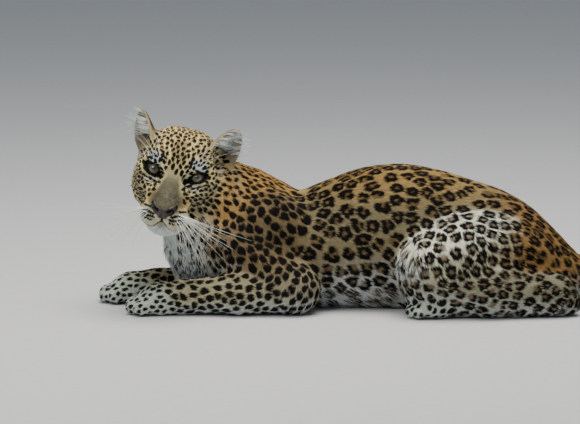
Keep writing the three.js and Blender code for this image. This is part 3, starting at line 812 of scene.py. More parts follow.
# %% [markdown]
# ## Rosettes and spots
# A leopard's flank and hind legs have rings of black blobs round a darker tan centre, its forelegs,
# neck and shoulders solid spots, its face fine ones. Pale hair runs between them as a net, because
# the marks grow from a pattern that pushes apart. Here places are thrown at random and kept only if
# nothing lies too near. Each mark then fills its own cell of the net, which keeps neighbours from
# running together.

# %% Places for the marks
PLACES_THROWN = 130000
gap_at = np.clip(skin_traits[:, GAP][tri].mean(1), 6, 40)
mark_at = Roots(PLACES_THROWN, np.where(bare, 0, 1 / gap_at ** 2))


def thrown(places, gap, cell=12.0):
    """Keeps places that lie at least their gap from all kept before."""
    kept = {}
    out = []
    keys = np.floor(places / cell).astype(int)
    for n, (p, key, far) in enumerate(zip(places.tolist(), keys.tolist(), gap.tolist())):
        reach = int(far // cell) + 1
        near = [q for i in range(key[0] - reach, key[0] + reach + 1)
                for j in range(key[1] - reach, key[1] + reach + 1)
                for k in range(key[2] - reach, key[2] + reach + 1)
                for q in kept.get((i, j, k), ())]
        if all((p[0] - x) ** 2 + (p[1] - y) ** 2 + (p[2] - z) ** 2 >= ((far + other) / 2) ** 2
               for x, y, z, other in near):
            kept.setdefault(tuple(key), []).append((*p, far))
            out.append(n)
    return np.array(out)


def bridge_half(u):
    """Half the width of the plain bridge of the nose at a height on the head."""
    return 16 + 13 * np.clip(-u / 32, 0, 1)


def head_free(p):
    """Where the head has no small spots: nose bridge, muzzle and round the eyes."""
    f, l, u = head_places(p).T
    bridge = (np.abs(l) < bridge_half(u)) & (u < 6) & (f > 0)
    muzzle = (f > 38) & (u < -34)
    return bridge | muzzle | (eye_gap(p) < 21.5)


order = rng.permutation(len(mark_at))
keep = order[thrown(mark_at.places[order], mark_at.traits[order, GAP])]
near_head = np.linalg.norm(mark_at.places[keep] - on_head(-20, 0, -10), axis=1) < 140
keep = keep[~(near_head & head_free(mark_at.places[keep]))]
keep = keep[mark_at.share[keep, GROUP_NAMES.index("ear")] < 0.5]
print("marks", len(keep))

# %% Each mark's own shape
BLOBS = 5
BLOB_OFF = 0.63
BLOB_KEPT = 0.87
TURN = 2 * math.pi
mark_place = mark_at.places[keep]
mark_normal = mark_at.normals[keep]
mark_way = mark_at.turned(0.35, keep)
mark_side = np.cross(mark_normal, mark_way)
ringed = mark_at.traits[keep, RING] > 0.5
mark_size = mark_at.traits[keep, RADIUS] * rng.uniform(0.84, 1.14, len(keep))
mark_stretch = np.sqrt(mark_at.traits[keep, STRETCH] * rng.uniform(0.85, 1.2, len(keep)))
mark_margin = np.clip(mark_at.traits[keep, GAP] * 0.085, 0.6, 1.5)
blob_turn = np.arange(BLOBS) / BLOBS * TURN + rng.normal(0, 0.2, (len(keep), BLOBS))
blob_turn += rng.uniform(0, TURN, (len(keep), 1))
blob_size = rng.uniform(0.36, 0.47, (len(keep), BLOBS))
blob_size *= rng.random((len(keep), BLOBS)) < BLOB_KEPT
wave_turn = rng.uniform(0, TURN, (len(keep), 2))
print("rings", int(ringed.sum()))

# %% [markdown]
# ## The face's own lines
# Some marks are the same on every leopard: the black corner of the eye with its tear line, bars over
# the eye, a line under it, rows of dashes where the whiskers grow, the black edge of the nose leather
# and the black line of the lips. They are drawn at their places on the head, each as a row of flat
# blobs. The tail ends in dark bands.

# %% A black line on the skin
on_face = np.flatnonzero(np.linalg.norm(skin_points - on_head(10, 0, -30), axis=1) < 105)
face_tree = KDTree(len(on_face))
for n in on_face:
    face_tree.insert(skin_points[n], int(n))
face_tree.balance()


def on_skin(f, l, u):
    """The point of the skin nearest to a place on the head, and its normal."""
    n = face_tree.find(on_head(f, l, u))[1]
    return skin_points[n], skin_normals[n]


def stroke(points, width, gaps=0.0):
    """A black line along places on the head; gaps is the share of it that is left out."""
    path = [on_skin(*p) for p in smooth_path(points, 3)]
    for (a, normal), (b, _) in zip(path, path[1:]):
        length = np.linalg.norm(b - a)
        if length < 0.5 or rng.random() < gaps:
            continue
        along = (b - a) / length
        across = unit(np.cross(normal, along))
        blobs.append(((a + b) / 2, along, across, normal, length / 2 + width * 0.7, width))


print("points of the face", len(on_face))

# %% Lines on the face
blobs = []
for s in (-1, 1):
    stroke([(5, s * 25, -9), (12, s * 22, -10), (20, s * 20, -13)], 3.2)
    stroke([(20, s * 20, -12), (32, s * 21, -17), (44, s * 25, -22)], 2.0)
    stroke([(-1, s * 25, 33), (4, s * 26, 26), (10, s * 26, 17)], 2.1)
    stroke([(2, s * 40, 22), (4, s * 35, 23)], 2.4, 0.3)
    stroke([(0, s * 50, 19), (-2, s * 53, 16)], 2.1)
    stroke([(10, s * 33, -19), (10, s * 41, -18), (8, s * 50, -14), (4, s * 57, -9)], 1.1, 0.35)
    stroke([(76, s * 24, -42), (66, s * 34, -44), (50, s * 40, -46)], 1.9, 0.15)
    stroke([(82, s * 15, -53), (79, s * 26, -50), (67, s * 38, -52)], 2.2)
    stroke([(82, s * 13, -59), (82, s * 24, -57), (72, s * 37, -57)], 2.1)
    stroke([(81, s * 13, -65), (82, s * 23, -64), (74, s * 35, -63)], 1.9, 0.15)
    stroke([(70, s * 24, -35), (78, s * 20.5, -38), (82, s * 17, -45), (84, s * 11, -52)], 1.5)
    stroke([(f, s * l, u) for f, l, u in LIP_LINE], 2.1)
stroke([(85, 0, -56), (80, 0, -62), (72, 0, -69)], 1.6)

# %% Bands of the tail
BANDS_START = 640
BAND_STEP = 46
tail_path = smooth_path(TAIL, 6)
run = np.r_[0, np.cumsum(np.linalg.norm(np.diff(tail_path[:, :3], axis=0), axis=1))]
for far in np.arange(BANDS_START, run[-1], BAND_STEP):
    n = np.searchsorted(run, far)
    along = unit(tail_path[n, :3] - tail_path[n - 1, :3])
    across = unit(np.cross((0, 0, 1), along))
    top = tail_path[n, :3] + (0, 0, tail_path[n, 3])
    blobs.append((top, along, across, np.array((0, 0, 1.0)), 10, 34))
print("lines on the face and tail", len(blobs))


# %% Points sorted into cubes
CUBE_OFFSET = 4096


class Cells:
    """Finds the points near a place. The three numbers of a cube are packed into one."""

    def __init__(self, points, size):
        self.size = size
        keys = np.floor(points / size).astype(np.int64)
        i, j, k = (keys + CUBE_OFFSET).T
        code = i << 40 | j << 20 | k
        order = np.argsort(code, kind="stable")
        starts = np.flatnonzero(np.r_[True, np.diff(code[order]) > 0])
        ends = np.r_[starts[1:], len(order)]
        self.found = {int(code[order[a]]): order[a:b] for a, b in zip(starts, ends)}

    def near(self, place, reach):
        low = np.floor((place - reach) / self.size).astype(int) + CUBE_OFFSET
        high = np.floor((place + reach) / self.size).astype(int) + CUBE_OFFSET
        lists = [self.found.get(i << 40 | j << 20 | k)
                 for i in range(low[0], high[0] + 1)
                 for j in range(low[1], high[1] + 1)
                 for k in range(low[2], high[2] + 1)]
        lists = [x for x in lists if x is not None]
        return np.concatenate(lists) if lists else np.zeros(0, int)


print("cubes of 12 mm with skin", len(Cells(skin_points, 12.0).found))

# %% Distance to the lines
NO_MARK = 8.0
FACING = 0.1
RIM_WIDE = 1.2


def line_gap(points, normals, shapes):
    """How far outside the nearest blob each point is, in millimetres; below 0 inside."""
    out = np.full(len(points), NO_MARK)
    cells = Cells(points, 9.0)
    for place, along, across, normal, long, wide in shapes:
        i = cells.near(place, max(long, wide) + 5)
        q = points[i] - place
        x = q @ along / long
        y = q @ across / wide
        z = q @ normal
        d = (np.sqrt(x * x + y * y + (z / (max(long, wide) + 6)) ** 2) - 1) * min(long, wide)
        d = np.where(normals[i] @ normal > FACING, d, NO_MARK)
        out[i] = np.minimum(out[i], d)
    return out


def rim_gap(p):
    """How far outside the black rim of the lids each point is."""
    out = np.full(len(p), NO_MARK)
    for s in (-1, 1):
        opening = LidOpening(s, 1)
        near = np.linalg.norm(p - opening.center, axis=1) < EYE_RADIUS + 6
        out[near] = np.minimum(out[near], opening.wedge(p[near]) - RIM_WIDE)
    return out


print("skin in a line", int((line_gap(skin_points, skin_normals, blobs) < 0).sum()), "points")

# %% Nearest marks
FAR_OFF = 60.0


def nearest_marks(points, normals):
    """The nearest and second nearest mark of each point and how far off they are."""
    first = np.full(len(points), FAR_OFF)
    second = np.full(len(points), FAR_OFF)
    who = np.zeros(len(points), int)
    other = np.zeros(len(points), int)
    cells = Cells(points, 12.0)
    for n, place in enumerate(mark_place):
        i = cells.near(place, 1.25 * mark_at.traits[keep[n], GAP])
        q = points[i] - place
        x = q @ mark_way[n] / mark_stretch[n]
        y = q @ mark_side[n] * mark_stretch[n]
        z = q @ mark_normal[n]
        d = np.where(normals[i] @ mark_normal[n] > FACING, np.sqrt(x * x + y * y + z * z), FAR_OFF)
        near, far = first[i], second[i]
        closer, between = d < near, (d >= near) & (d < far)
        other[i] = np.where(closer, who[i], np.where(between, n, other[i]))
        second[i] = np.where(closer, near, np.where(between, d, far))
        who[i] = np.where(closer, n, who[i])
        first[i] = np.where(closer, d, near)
    return who, other, first, second


# %% The pattern
def pattern_gaps(points, normals):
    """How far outside a black mark, and outside a rosette's centre, each point is."""
    who, other, first, second = nearest_marks(points, normals)
    apart = np.maximum(np.linalg.norm(mark_place[who] - mark_place[other], axis=1), 4.0)
    border = np.where(second < FAR_OFF - 1, (second ** 2 - first ** 2) / (2 * apart), FAR_OFF)
    q = points - mark_place[who]
    along = (q * mark_way[who]).sum(1)
    across = (q * mark_side[who]).sum(1)
    angle = np.arctan2(across, along)
    wave = 0.12 * np.sin(2 * angle + wave_turn[who, 0]) + 0.09 * np.sin(3 * angle + wave_turn[who, 1])
    size = mark_size[who]
    whole = soft_both(mark_margin[who] - border, first - size * (1 + wave), 2.5)
    ring = np.full(len(points), FAR_OFF)
    for n in range(BLOBS):
        turned = blob_turn[who, n]
        off = np.hypot(along - BLOB_OFF * size * np.cos(turned),
                       across - BLOB_OFF * size * np.sin(turned))
        ring = np.minimum(ring, off - blob_size[who, n] * size)
    black = np.where(ringed[who], np.maximum(whole, ring), whole)
    centre = np.where(ringed[who], np.maximum(whole + 1.5, first - size * 0.85), NO_MARK)
    lines = np.minimum(line_gap(points, normals, blobs), rim_gap(points))
    black = np.clip(np.minimum(black, lines), -NO_MARK, NO_MARK)
    return black, np.clip(centre, -NO_MARK, NO_MARK)


skin_mark, skin_centre = pattern_gaps(skin_points, skin_normals)
print("share of the skin in a mark", round(float((skin_mark < 0).mean()), 3))


# %% [markdown]
# ## Ground colours
# Between the marks the coat is tan along the back, orange on the neck and rump, buff on the flank,
# sandy on the forelegs, cream on the thighs and white on throat, breast and belly. The buff of flank
# and tail and the brown of the shoulders are darkened by painted shade, the breast is lightened by
# painted light, and the top of each thigh, where it faces up, gets a painted highlight. The face is
# pale gold, with white over the eyes and on the chin, pale pads and a grey-brown bridge of the nose.
# The lips are black, and the nostrils are darkened inside by painted shade. The ears are black
# behind, tan at the rim and pale inside, with painted shade in the hole of the cup. Each colour is
# laid over those before by an amount that rises over a few centimetres, as with a soft brush.

# %% Patches of the face
FACE_PATCHES = (
    # Place for one side, radii, colour, strength
    ((-8, 52, -38), (48, 30, 30), (0.44, 0.37, 0.23), 0.85),
    ((-42, 68, 4), (12, 12, 16), (0.66, 0.64, 0.54), 0.8),
    ((68, 0, -73), (18, 20, 10), (0.42, 0.38, 0.32), 1.0),
    ((4, 40, 19), (16, 18, 10), WHITE, 1.0),
    ((11, 20, 2), (12, 4, 8), WHITE, 0.7),
    ((12, 33, -15), (18, 17, 6), (0.60, 0.58, 0.47), 0.85),
    ((56, 27, -30), (26, 9, 10), (0.42, 0.25, 0.10), 0.7),
    ((70, 24, -62), (26, 22, 19), (0.64, 0.60, 0.45), 1.0),
    ((44, 4, -92), (44, 29, 16), WHITE, 1.0),
    ((-6, 4, 38), (26, 9, 22), (0.22, 0.145, 0.07), 0.6),
)
print("patches on each side of the face", len(FACE_PATCHES))

# %% Colours of the ears
EAR_BLACK = (0.022, 0.018, 0.014)
EAR_PALE = (0.30, 0.25, 0.18)
# Painted shade for the hole at the bottom of the ear's cup
EAR_HOLE_PAINTED_SHADE = (0.025, 0.018, 0.014)
EAR_RIM = (0.60, 0.47, 0.26)


def paint_ears(p, mix, share):
    """Lays the ears' colours on points, by the share that the ears have in each, with painted shade in
    the hole of each cup.
    """
    for ear in ears:
        x, v, front, _, _ = ear.leaf(p)
        mine = share * (np.linalg.norm(p - ear.base, axis=1) < 80)
        edge = np.hypot(x / EAR_HALF, np.maximum(v, 0) / EAR_HIGH)
        inside = np.clip(front / 2 + 0.5, 0, 1)
        deep = np.clip((24 - v) / 12, 0, 1) * np.clip((20 - np.abs(x)) / 8, 0, 1)
        mix(mine * (1 - inside), EAR_BLACK)
        mix(mine * inside, EAR_PALE)
        # Painted shade: the low middle of the cup, where the ear's hole lies, goes near black
        mix(mine * inside * deep, EAR_HOLE_PAINTED_SHADE)
        mix(mine * np.clip((edge - 0.93) / 0.06, 0, 1), EAR_RIM)


# %% Ground colours
RUMP_ORANGE = (0.35, 0.20, 0.068)
BELLY_PALE = (0.60, 0.67, 0.69)
KNEE_WHITE = (0.78, 0.83, 0.82)
# Painted highlight for the top of the thigh
THIGH_TOP_PAINTED_HIGHLIGHT = (0.88, 0.87, 0.70)
BREAST_PALE = (0.62, 0.66, 0.62)
ARM_TAN = (0.42, 0.29, 0.13)
NAPE_GOLD = (0.52, 0.31, 0.10)
CROWN_GOLD = (0.74, 0.52, 0.21)
LIP_BLACK_AND_NOSTRIL_SHADE = (0.02, 0.012, 0.011)
THROAT = on_head(8, -22, -124)
# The lips' own black, and the painted shade inside the nostrils, reach this far past their grooves
DARK_FORMS = [(form, 1.6) for form in lips] + [(form, 1.2) for form in nostrils]


def ground_colour(p, normal, traits, share):
    """The colour between the marks at each point."""
    colour = traits[:, COLOUR].copy()

    def mix(amount, other):
        colour[:] += np.clip(amount, 0, 1)[:, None] * (np.array(other) - colour)

    of = by_group(share)
    x, y, z = p.T
    thigh = np.clip((of["thigh"] - 0.5) * 3 + 0.5, 0, 1)
    mix(thigh, CREAM)
    mix((z - 176) / 50 * of["trunk"], TAN)
    mix((x - 325) / 70 * (of["trunk"] + of["thigh"] + of["tail"]), RUMP_ORANGE)
    mix((78 - z) / 60 * (of["trunk"] + of["shoulder"] * 0.5) * 0.8, BELLY_PALE)
    mix((245 - x) / 45 * thigh * 0.9, KNEE_WHITE)
    # Painted highlight: where the thigh faces up it turns whiter, less towards the rump
    mix((normal[:, 2] - 0.22) * 2.4 * thigh * np.clip((400 - x) / 60, 0, 1), THIGH_TOP_PAINTED_HIGHLIGHT)
    mix((1.25 - np.linalg.norm(p - THROAT, axis=1) / 52) * 2 * (1 - of["head"]), WHITE)
    front = np.hypot(x + 195, (y + 62) * 1.3)
    mix((80 - front) / 30 * np.clip((190 - z) / 40, 0, 1) * of["breast"], BREAST_PALE)
    mix((z - 68) / 60 * of["arm"], ARM_TAN)
    mix(-normal[:, 2] * 1.1 * (1 - of["head"] - 0.85 * of["neck"]), WHITE)
    f, l, u = head_places(p).T
    mix((-62 - f) / 40 * of["head"], NAPE_GOLD)
    mix((u - 18) / 60 * of["head"], CROWN_GOLD)
    for (pf, pl, pu), radii, other, strength in FACE_PATCHES:
        away = np.sqrt(((f - pf) / radii[0]) ** 2 + ((np.abs(l) - pl) / radii[1]) ** 2
                       + ((u - pu) / radii[2]) ** 2)
        mix(np.clip((1.15 - away) / 0.3, 0, 1) * strength * of["head"], other)
    bridge = np.clip((bridge_half(u) + 3 - np.abs(l)) / 11, 0, 1) * np.clip((22 - u) / 30, 0, 1)
    bridge *= np.clip((u + 48) / 6, 0, 1) * np.clip((f + 2) / 14, 0, 1) * of["head"]
    mix(bridge, GREY_BROWN)
    paint_ears(p, mix, of["ear"])
    face = np.linalg.norm(p - on_head(60, 0, -60), axis=1) < 75
    dark = np.zeros(len(p))
    for form, reach in DARK_FORMS:
        dark[face] = np.maximum(dark[face], np.clip(reach - form.distance(p[face]), 0, 1))
    dark[face] = np.maximum(dark[face], np.clip(nose_leather(p[face]) + 1, 0, 1))
    # Lips and the skin under the nose leather are dark in their own colour; the nostrils' dark is painted
    # shade
    mix(dark, LIP_BLACK_AND_NOSTRIL_SHADE)
    return np.clip(colour, 0, 1)


skin_ground = ground_colour(skin_points, skin_normals, skin_traits, skin_share)
print("mean colour between the marks", skin_ground.mean(0).round(3))

# %% [markdown]
# ## The skin's piece and its finish
# The skin is what shows between the hairs and at the lids, lips and nostrils. It carries three
# values at each point: the ground colour, how far it lies from a black mark and how far from a
# rosette's centre. The finish turns them into colour and frays the edges with fine noise, as hairs
# of two colours do where they mix. Tufts use the same values from their roots, so both agree.

# %% Values on points
def point_values(mesh, name, values, kind="FLOAT"):
    """Stores one number, or one colour, for each point of a mesh."""
    layer = mesh.attributes.new(name, kind, "POINT")
    if kind == "FLOAT":
        layer.data.foreach_set("value", np.asarray(values, np.float32))
    else:
        rgba = np.ones((len(values), 4), np.float32)
        rgba[:, :3] = values
        layer.data.foreach_set("color", rgba.ravel())


# %% Parts of a finish
def attribute(tree, name):
    made = tree.nodes.new("ShaderNodeAttribute")
    made.attribute_name = name
    return made


def maths(tree, operation, a, b=None, clamp=False):
    made = tree.nodes.new("ShaderNodeMath")
    made.operation = operation
    made.use_clamp = clamp
    for slot, value in zip(made.inputs, (a, b)):
        if value is None:
            continue
        if isinstance(value, (int, float)):
            slot.default_value = value
        else:
            tree.links.new(value, slot)
    return made.outputs[0]


def mixed(tree, amount, a, b, way="MIX"):
    made = tree.nodes.new("ShaderNodeMix")
    made.data_type = "RGBA"
    made.blend_type = way
    for slot, value in zip((made.inputs[0], made.inputs[6], made.inputs[7]), (amount, a, b)):
        if isinstance(value, (int, float)):
            slot.default_value = value
        elif isinstance(value, tuple):
            slot.default_value = (*value, 1)
        else:
            tree.links.new(value, slot)
    return made.outputs[2]


def noise(tree, scale, detail=3.0):
    made = tree.nodes.new("ShaderNodeTexNoise")
    made.inputs["Scale"].default_value = scale
    made.inputs["Detail"].default_value = detail
    place = tree.nodes.new("ShaderNodeTexCoord")
    tree.links.new(place.outputs["Object"], made.inputs["Vector"])
    return made.outputs["Fac"]


def new_material(name, roughness, specular=0.5):
    made = bpy.data.materials.new(name)
    made.use_nodes = True
    tree = made.node_tree
    shader = tree.nodes["Principled BSDF"]
    shader.inputs["Roughness"].default_value = roughness
    shader.inputs["Specular IOR Level"].default_value = specular
    return made, tree, shader


def bumped(tree, shader, height, strength, distance):
    lift = tree.nodes.new("ShaderNodeBump")
    lift.inputs["Strength"].default_value = strength
    lift.inputs["Distance"].default_value = distance
    tree.links.new(height, lift.inputs["Height"])
    tree.links.new(lift.outputs["Normal"], shader.inputs["Normal"])


# %% The finish of the fur
FUR_ROUGHNESS = 0.65
FUR_SPECULAR = 0.07


def fur_finish(name, bump):
    """Ground colour, darker rosette centres and black marks, broken by fine noise."""
    made, tree, shader = new_material(name, FUR_ROUGHNESS, FUR_SPECULAR)
    edge = maths(tree, "MULTIPLY", maths(tree, "SUBTRACT", noise(tree, 420), 0.5), 2.0)
    ground = attribute(tree, "ground").outputs["Color"]
    vary = maths(tree, "ADD", maths(tree, "MULTIPLY", noise(tree, 130, 5), 0.6), 0.7)
    ground = mixed(tree, 1.0, ground, vary, "MULTIPLY")
    inner = maths(tree, "ADD", attribute(tree, "centre").outputs["Fac"], edge)
    inner = maths(tree, "MULTIPLY", maths(tree, "SUBTRACT", 0.5, inner), 0.6, True)
    inner = maths(tree, "MULTIPLY", inner, 0.8)
    colour = mixed(tree, inner, ground, ROSETTE_BROWN)
    mark = maths(tree, "ADD", attribute(tree, "mark").outputs["Fac"], edge)
    mark = maths(tree, "MULTIPLY", maths(tree, "SUBTRACT", 0.6, mark), 1.8, True)
    colour = mixed(tree, maths(tree, "MULTIPLY", mark, 0.985), colour, BLACK)
    tree.links.new(colour, shader.inputs["Base Color"])
    if bump:
        bumped(tree, shader, noise(tree, 900, 2), bump, 0.0015)
    return made


# %% The skin's piece
skin = new_mesh("skin", skin_points, skin_squares)
point_values(skin.data, "ground", skin_ground, "FLOAT_COLOR")
point_values(skin.data, "mark", skin_mark)
point_values(skin.data, "centre", skin_centre)
skin.data.materials.append(fur_finish("skin", 0.5))
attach(skin, "root")
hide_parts(*[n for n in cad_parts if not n.startswith("eye") and n != "nose"])
print("skin piece, faces", len(skin.data.polygons))

# %% [markdown]
# ## The coat
# The hair is short and lies flat along the body, so a tuft is a thin wedge of a few hairs, wide
# at the root, pointed at the tip and lifted a little from the skin. Hair curves would be lighter to
# make, but they don't leave Blender as a mesh, and these do. Tufts overlap like tiles from the nose
# back to the tail. For baking, each has a small patch of its own on an unwrap of the skin, which is
# cut into charts by part of the body and by the way it faces.

# %% Unwrap of the skin
CHARTS = {}


def chart_places(places, normals, share):
    """Where each root lies on the unwrap: square charts in rows, one per part and facing."""
    facing = np.abs(normals).argmax(1)
    side = facing * 2 + (np.take_along_axis(normals, facing[:, None], 1)[:, 0] > 0)
    chart = share.argmax(1) * 6 + side
    flat = np.where((facing == 0)[:, None], places[:, 1:],
                    np.where((facing == 1)[:, None], places[:, ::2], places[:, :2]))
    if not CHARTS:
        for n in np.unique(chart):
            mine = flat[chart == n]
            CHARTS[int(n)] = (len(CHARTS), mine.min(0), np.ptp(mine, axis=0).max() + 1)
    columns = math.ceil(math.sqrt(len(CHARTS)))
    out = np.zeros((len(places), 2))
    for n, (index, low, span) in CHARTS.items():
        mine = chart == n
        share_of = np.clip((flat[mine] - low) / span, 0, 1)
        out[mine] = (np.array((index % columns, index // columns)) + 0.04 + 0.92 * share_of) / columns
    return out


chart_places(skin_points, skin_normals, skin_share)
print("charts", len(CHARTS))

# %% Tufts
# Size of a tuft's patch on the unwrap, tufts in a piece
PATCH = 0.003
PER_PIECE = 48000
# How deep a root sits in the skin, and the least height of a hair over the ground
SUNK = 0.4
LOWEST = 0.5
TUFT_FACES = np.array(((0, 1, 3), (1, 2, 3), (2, 0, 3), (0, 2, 1)))
TUFT_UV = np.array(((0, 0), (1, 0), (0.5, 0.5), (0.5, 1)))


def tufts(roots, ways, lengths, lifts, wide):
    """Closed tufts of four faces: a triangle at the root and a tip."""
    aside = np.cross(roots.normals, ways)
    rise = np.radians(lifts)[:, None]
    tip = roots.places + lengths[:, None] * (ways * np.cos(rise) + roots.normals * np.sin(rise))
    sunk = roots.places - roots.normals * SUNK
    half = aside * wide[:, None] / 2
    top = roots.places + roots.normals * wide[:, None] * 0.3 + ways * lengths[:, None] * 0.28
    points = np.stack((sunk - half, sunk + half, top, tip), 1)
    points[:, :, 2] = np.maximum(points[:, :, 2], LOWEST)
    return points


def hair_piece(name, points, faces, corner_uv, roots, colour, some=slice(None)):
    """One piece of coat from the points of its tufts, with what each root gives them."""
    number = points.shape[1]
    index = np.arange(len(points[some]))[:, None, None] * number + faces
    piece = new_mesh(name, points[some].reshape(-1, 3), index.reshape(-1, 3), smooth=False)
    point_values(piece.data, "mark", np.repeat(roots.mark[some], number))
    point_values(piece.data, "centre", np.repeat(roots.centre[some], number))
    point_values(piece.data, "ground", np.repeat(colour[some], number, 0), "FLOAT_COLOR")
    uv = roots.uv[some][:, None, None, :] + PATCH * (corner_uv[faces] - 0.5)
    piece.data.uv_layers.new(name="OFBake")
    piece.data.uv_layers["OFBake"].data.foreach_set("uv", uv.astype(np.float32).ravel())
    piece.data.materials.append(coat_finish)
    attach(piece, "root")
    return piece


def marked(roots, ahead):
    """Adds to roots the marks some way along the hair, its colours and its place on the unwrap."""
    places = roots.places + roots.lie * np.reshape(ahead, (-1, 1))
    roots.mark, roots.centre = pattern_gaps(places, roots.normals)
    roots.ground = ground_colour(roots.places, roots.normals, roots.traits, roots.share)
    roots.uv = chart_places(roots.places, roots.normals, roots.share)


# %% The short coat
coat_finish = fur_finish("coat", 0)
marked(coat_roots, coat_roots.traits[:, LENGTH] * 0.3)
count = len(coat_roots)
way = unit(coat_roots.turned(0.16))
length = coat_roots.traits[:, LENGTH] * rng.uniform(0.75, 1.2, count)
lift = np.clip(coat_roots.traits[:, LIFT] * rng.uniform(0.6, 1.3, count), 4, 40)
colour = coat_roots.ground * rng.uniform(0.82, 1.16, count)[:, None]
points = tufts(coat_roots, way, length, lift, length * 0.16 + 0.25)
coat = [hair_piece(f"coat_{n + 1:02d}", points, TUFT_FACES, TUFT_UV, coat_roots, colour,
                   slice(first, first + PER_PIECE))
        for n, first in enumerate(range(0, count, PER_PIECE))]
print("coat pieces", len(coat), "faces", sum(len(c.data.polygons) for c in coat))

# %% [markdown]
# ## Long hair
# Along the belly, on breast and throat, on the cheeks, under the ears, at the elbow, at the fore
# edge of the knee and along the tail the hair is longer and parts from the outline. In the ears long
# white hairs cross the cup from its inner edge outwards. Each lock has a bend in the middle, so that
# it curves. In places the long hair covers a mark, so four in ten locks stay pale.

# %% Locks
LONG_LOCKS = 12500
EAR_LOCKS = 520
PALE_LOCKS = 0.4
LOCK_FACES = np.array(((0, 1, 4), (0, 4, 3), (1, 2, 5), (1, 5, 4), (2, 0, 3), (2, 3, 5),
                       (3, 4, 6), (4, 5, 6), (5, 3, 6), (0, 2, 1)))
LOCK_UV = np.array(((0, 0), (1, 0), (0.5, 0), (0.2, 0.5), (0.8, 0.5), (0.5, 0.5), (0.5, 1)))


def long_at(p, share):
    """How long the long hair is at each point, 0 where there is none."""
    of = by_group(share)
    x, _, z = p.T
    f, l, u = head_places(p).T
    belly = 20 * np.clip((52 - z) / 14, 0, 1) * of["trunk"]
    knee = 27 * np.clip((246 - x) / 26, 0, 1) * np.clip((z - 34) / 20, 0, 1) * of["thigh"]
    breast = 19 * of["breast"]
    cheek = 14 * np.clip((-28 - f) / 20, 0, 1) * np.clip((-14 - u) / 14, 0, 1) * of["head"]
    by_ear = 13 * np.clip(2.2 - np.hypot(np.hypot(f + 42, np.abs(l) - 68), u - 4) / 9, 0, 1)
    chin = 8 * np.clip((-84 - u) / 10, 0, 1) * of["head"]
    elbow = 10 * np.clip((x + 20) / 20, 0, 1) * of["arm"]
    return np.max((belly, knee, breast, cheek, by_ear, chin, elbow, 13 * of["tail"]), 0)


def locks(roots, ways, lengths, lifts, wide, droop):
    """Closed locks with three corners at the root, three at the bend, and a tip."""
    aside = unit(np.cross(roots.normals, ways))
    rise = np.radians(lifts)[:, None]
    long = lengths[:, None]
    out = ways * np.cos(rise) + roots.normals * np.sin(rise)
    bend = roots.places + long * 0.55 * out
    tip = bend + long * 0.45 * unit(out * 0.9 + ways * 0.5 + np.array((0, 0, -1.0)) * droop)
    half = aside * wide[:, None] / 2
    over = unit(np.cross(out, aside)) * wide[:, None] * 0.3
    sunk = roots.places - roots.normals * SUNK
    points = np.stack((sunk - half, sunk + half, sunk + over, bend - half * 0.8, bend + half * 0.8,
                       bend + over * 0.8, tip), 1)
    points[:, :, 2] = np.maximum(points[:, :, 2], LOWEST)
    return points


# %% Long hair
reach = long_at(middle, skin_share[tri].mean(1))
long_roots = Roots(LONG_LOCKS, np.where(bare, 0, np.clip(reach - 5, 0, None) / 12))
marked(long_roots, 3.0)
count = len(long_roots)
length = long_at(long_roots.places, long_roots.share) * rng.uniform(0.65, 1.15, count)
way = unit(long_roots.turned(0.3))
lift = rng.uniform(10, 24, count)
points = locks(long_roots, way, length, lift, rng.uniform(0.9, 1.5, count), 0.25)
colour = long_roots.ground * rng.uniform(0.85, 1.15, count)[:, None]
long_roots.mark += 6 * (rng.random(count) < PALE_LOCKS)
hair_piece("long_hair", points, LOCK_FACES, LOCK_UV, long_roots, colour)
print("long hair", count, "locks")

# %% Hair in the ears
in_ear = np.zeros(len(tri))
for s, ear in zip((-1, 1), ears):
    x, v, front, _, _ = ear.leaf(middle)
    inner_side = np.clip(-s * ((middle - ear.base) @ LEFT) / 6 + 1.2, 0.3, 1)
    on_ear = (np.linalg.norm(middle - ear.base, axis=1) < 64) & (front > 1) & (front < 8)
    in_ear += on_ear * inner_side * (v > 12) * (np.abs(x) < EAR_HALF + 1)
ear_roots = Roots(EAR_LOCKS, in_ear)
marked(ear_roots, 0.0)
count = len(ear_roots)
outside = np.sign((ear_roots.places - EYES_MIDDLE) @ LEFT)[:, None]
way = unit(outside * LEFT * 0.85 + UP * 0.3 + FORWARD * 0.35 + rng.normal(0, 0.16, (count, 3)))
length = rng.uniform(13, 27, count)
points = locks(ear_roots, way, length, np.zeros(count), rng.uniform(0.7, 1.1, count), 0.1)
ear_roots.mark[:] = NO_MARK
colour = np.array(WHITE) * rng.uniform(0.85, 1.2, count)[:, None]
hair_piece("ear_hair", points, LOCK_FACES, LOCK_UV, ear_roots, colour)
print("hair in the ears", count, "locks")

# %% [markdown]
# ## Eyes
# A leopard's eye is a ball 30 mm across with an olive iris, a dark ring round it, a round pupil
# and a clear dome in front. Here the dome is the ball's own bulge under a wet coat, and the iris is
# drawn by how far a point lies from the line of sight. Both eyes look the same way, to the viewer's
# side, as they do in life. A separate glass dome would bend the light more truly, but at this size
# the highlight is what shows.

# %% The ball
BALL_RADIUS = EYE_RADIUS - 0.5
DOME = 1.5
IRIS_RADIUS = 8.7
PUPIL_RADIUS = 3.0
GAZE = unit(np.array((0.94, 0.085, 0.31)) @ HEAD)


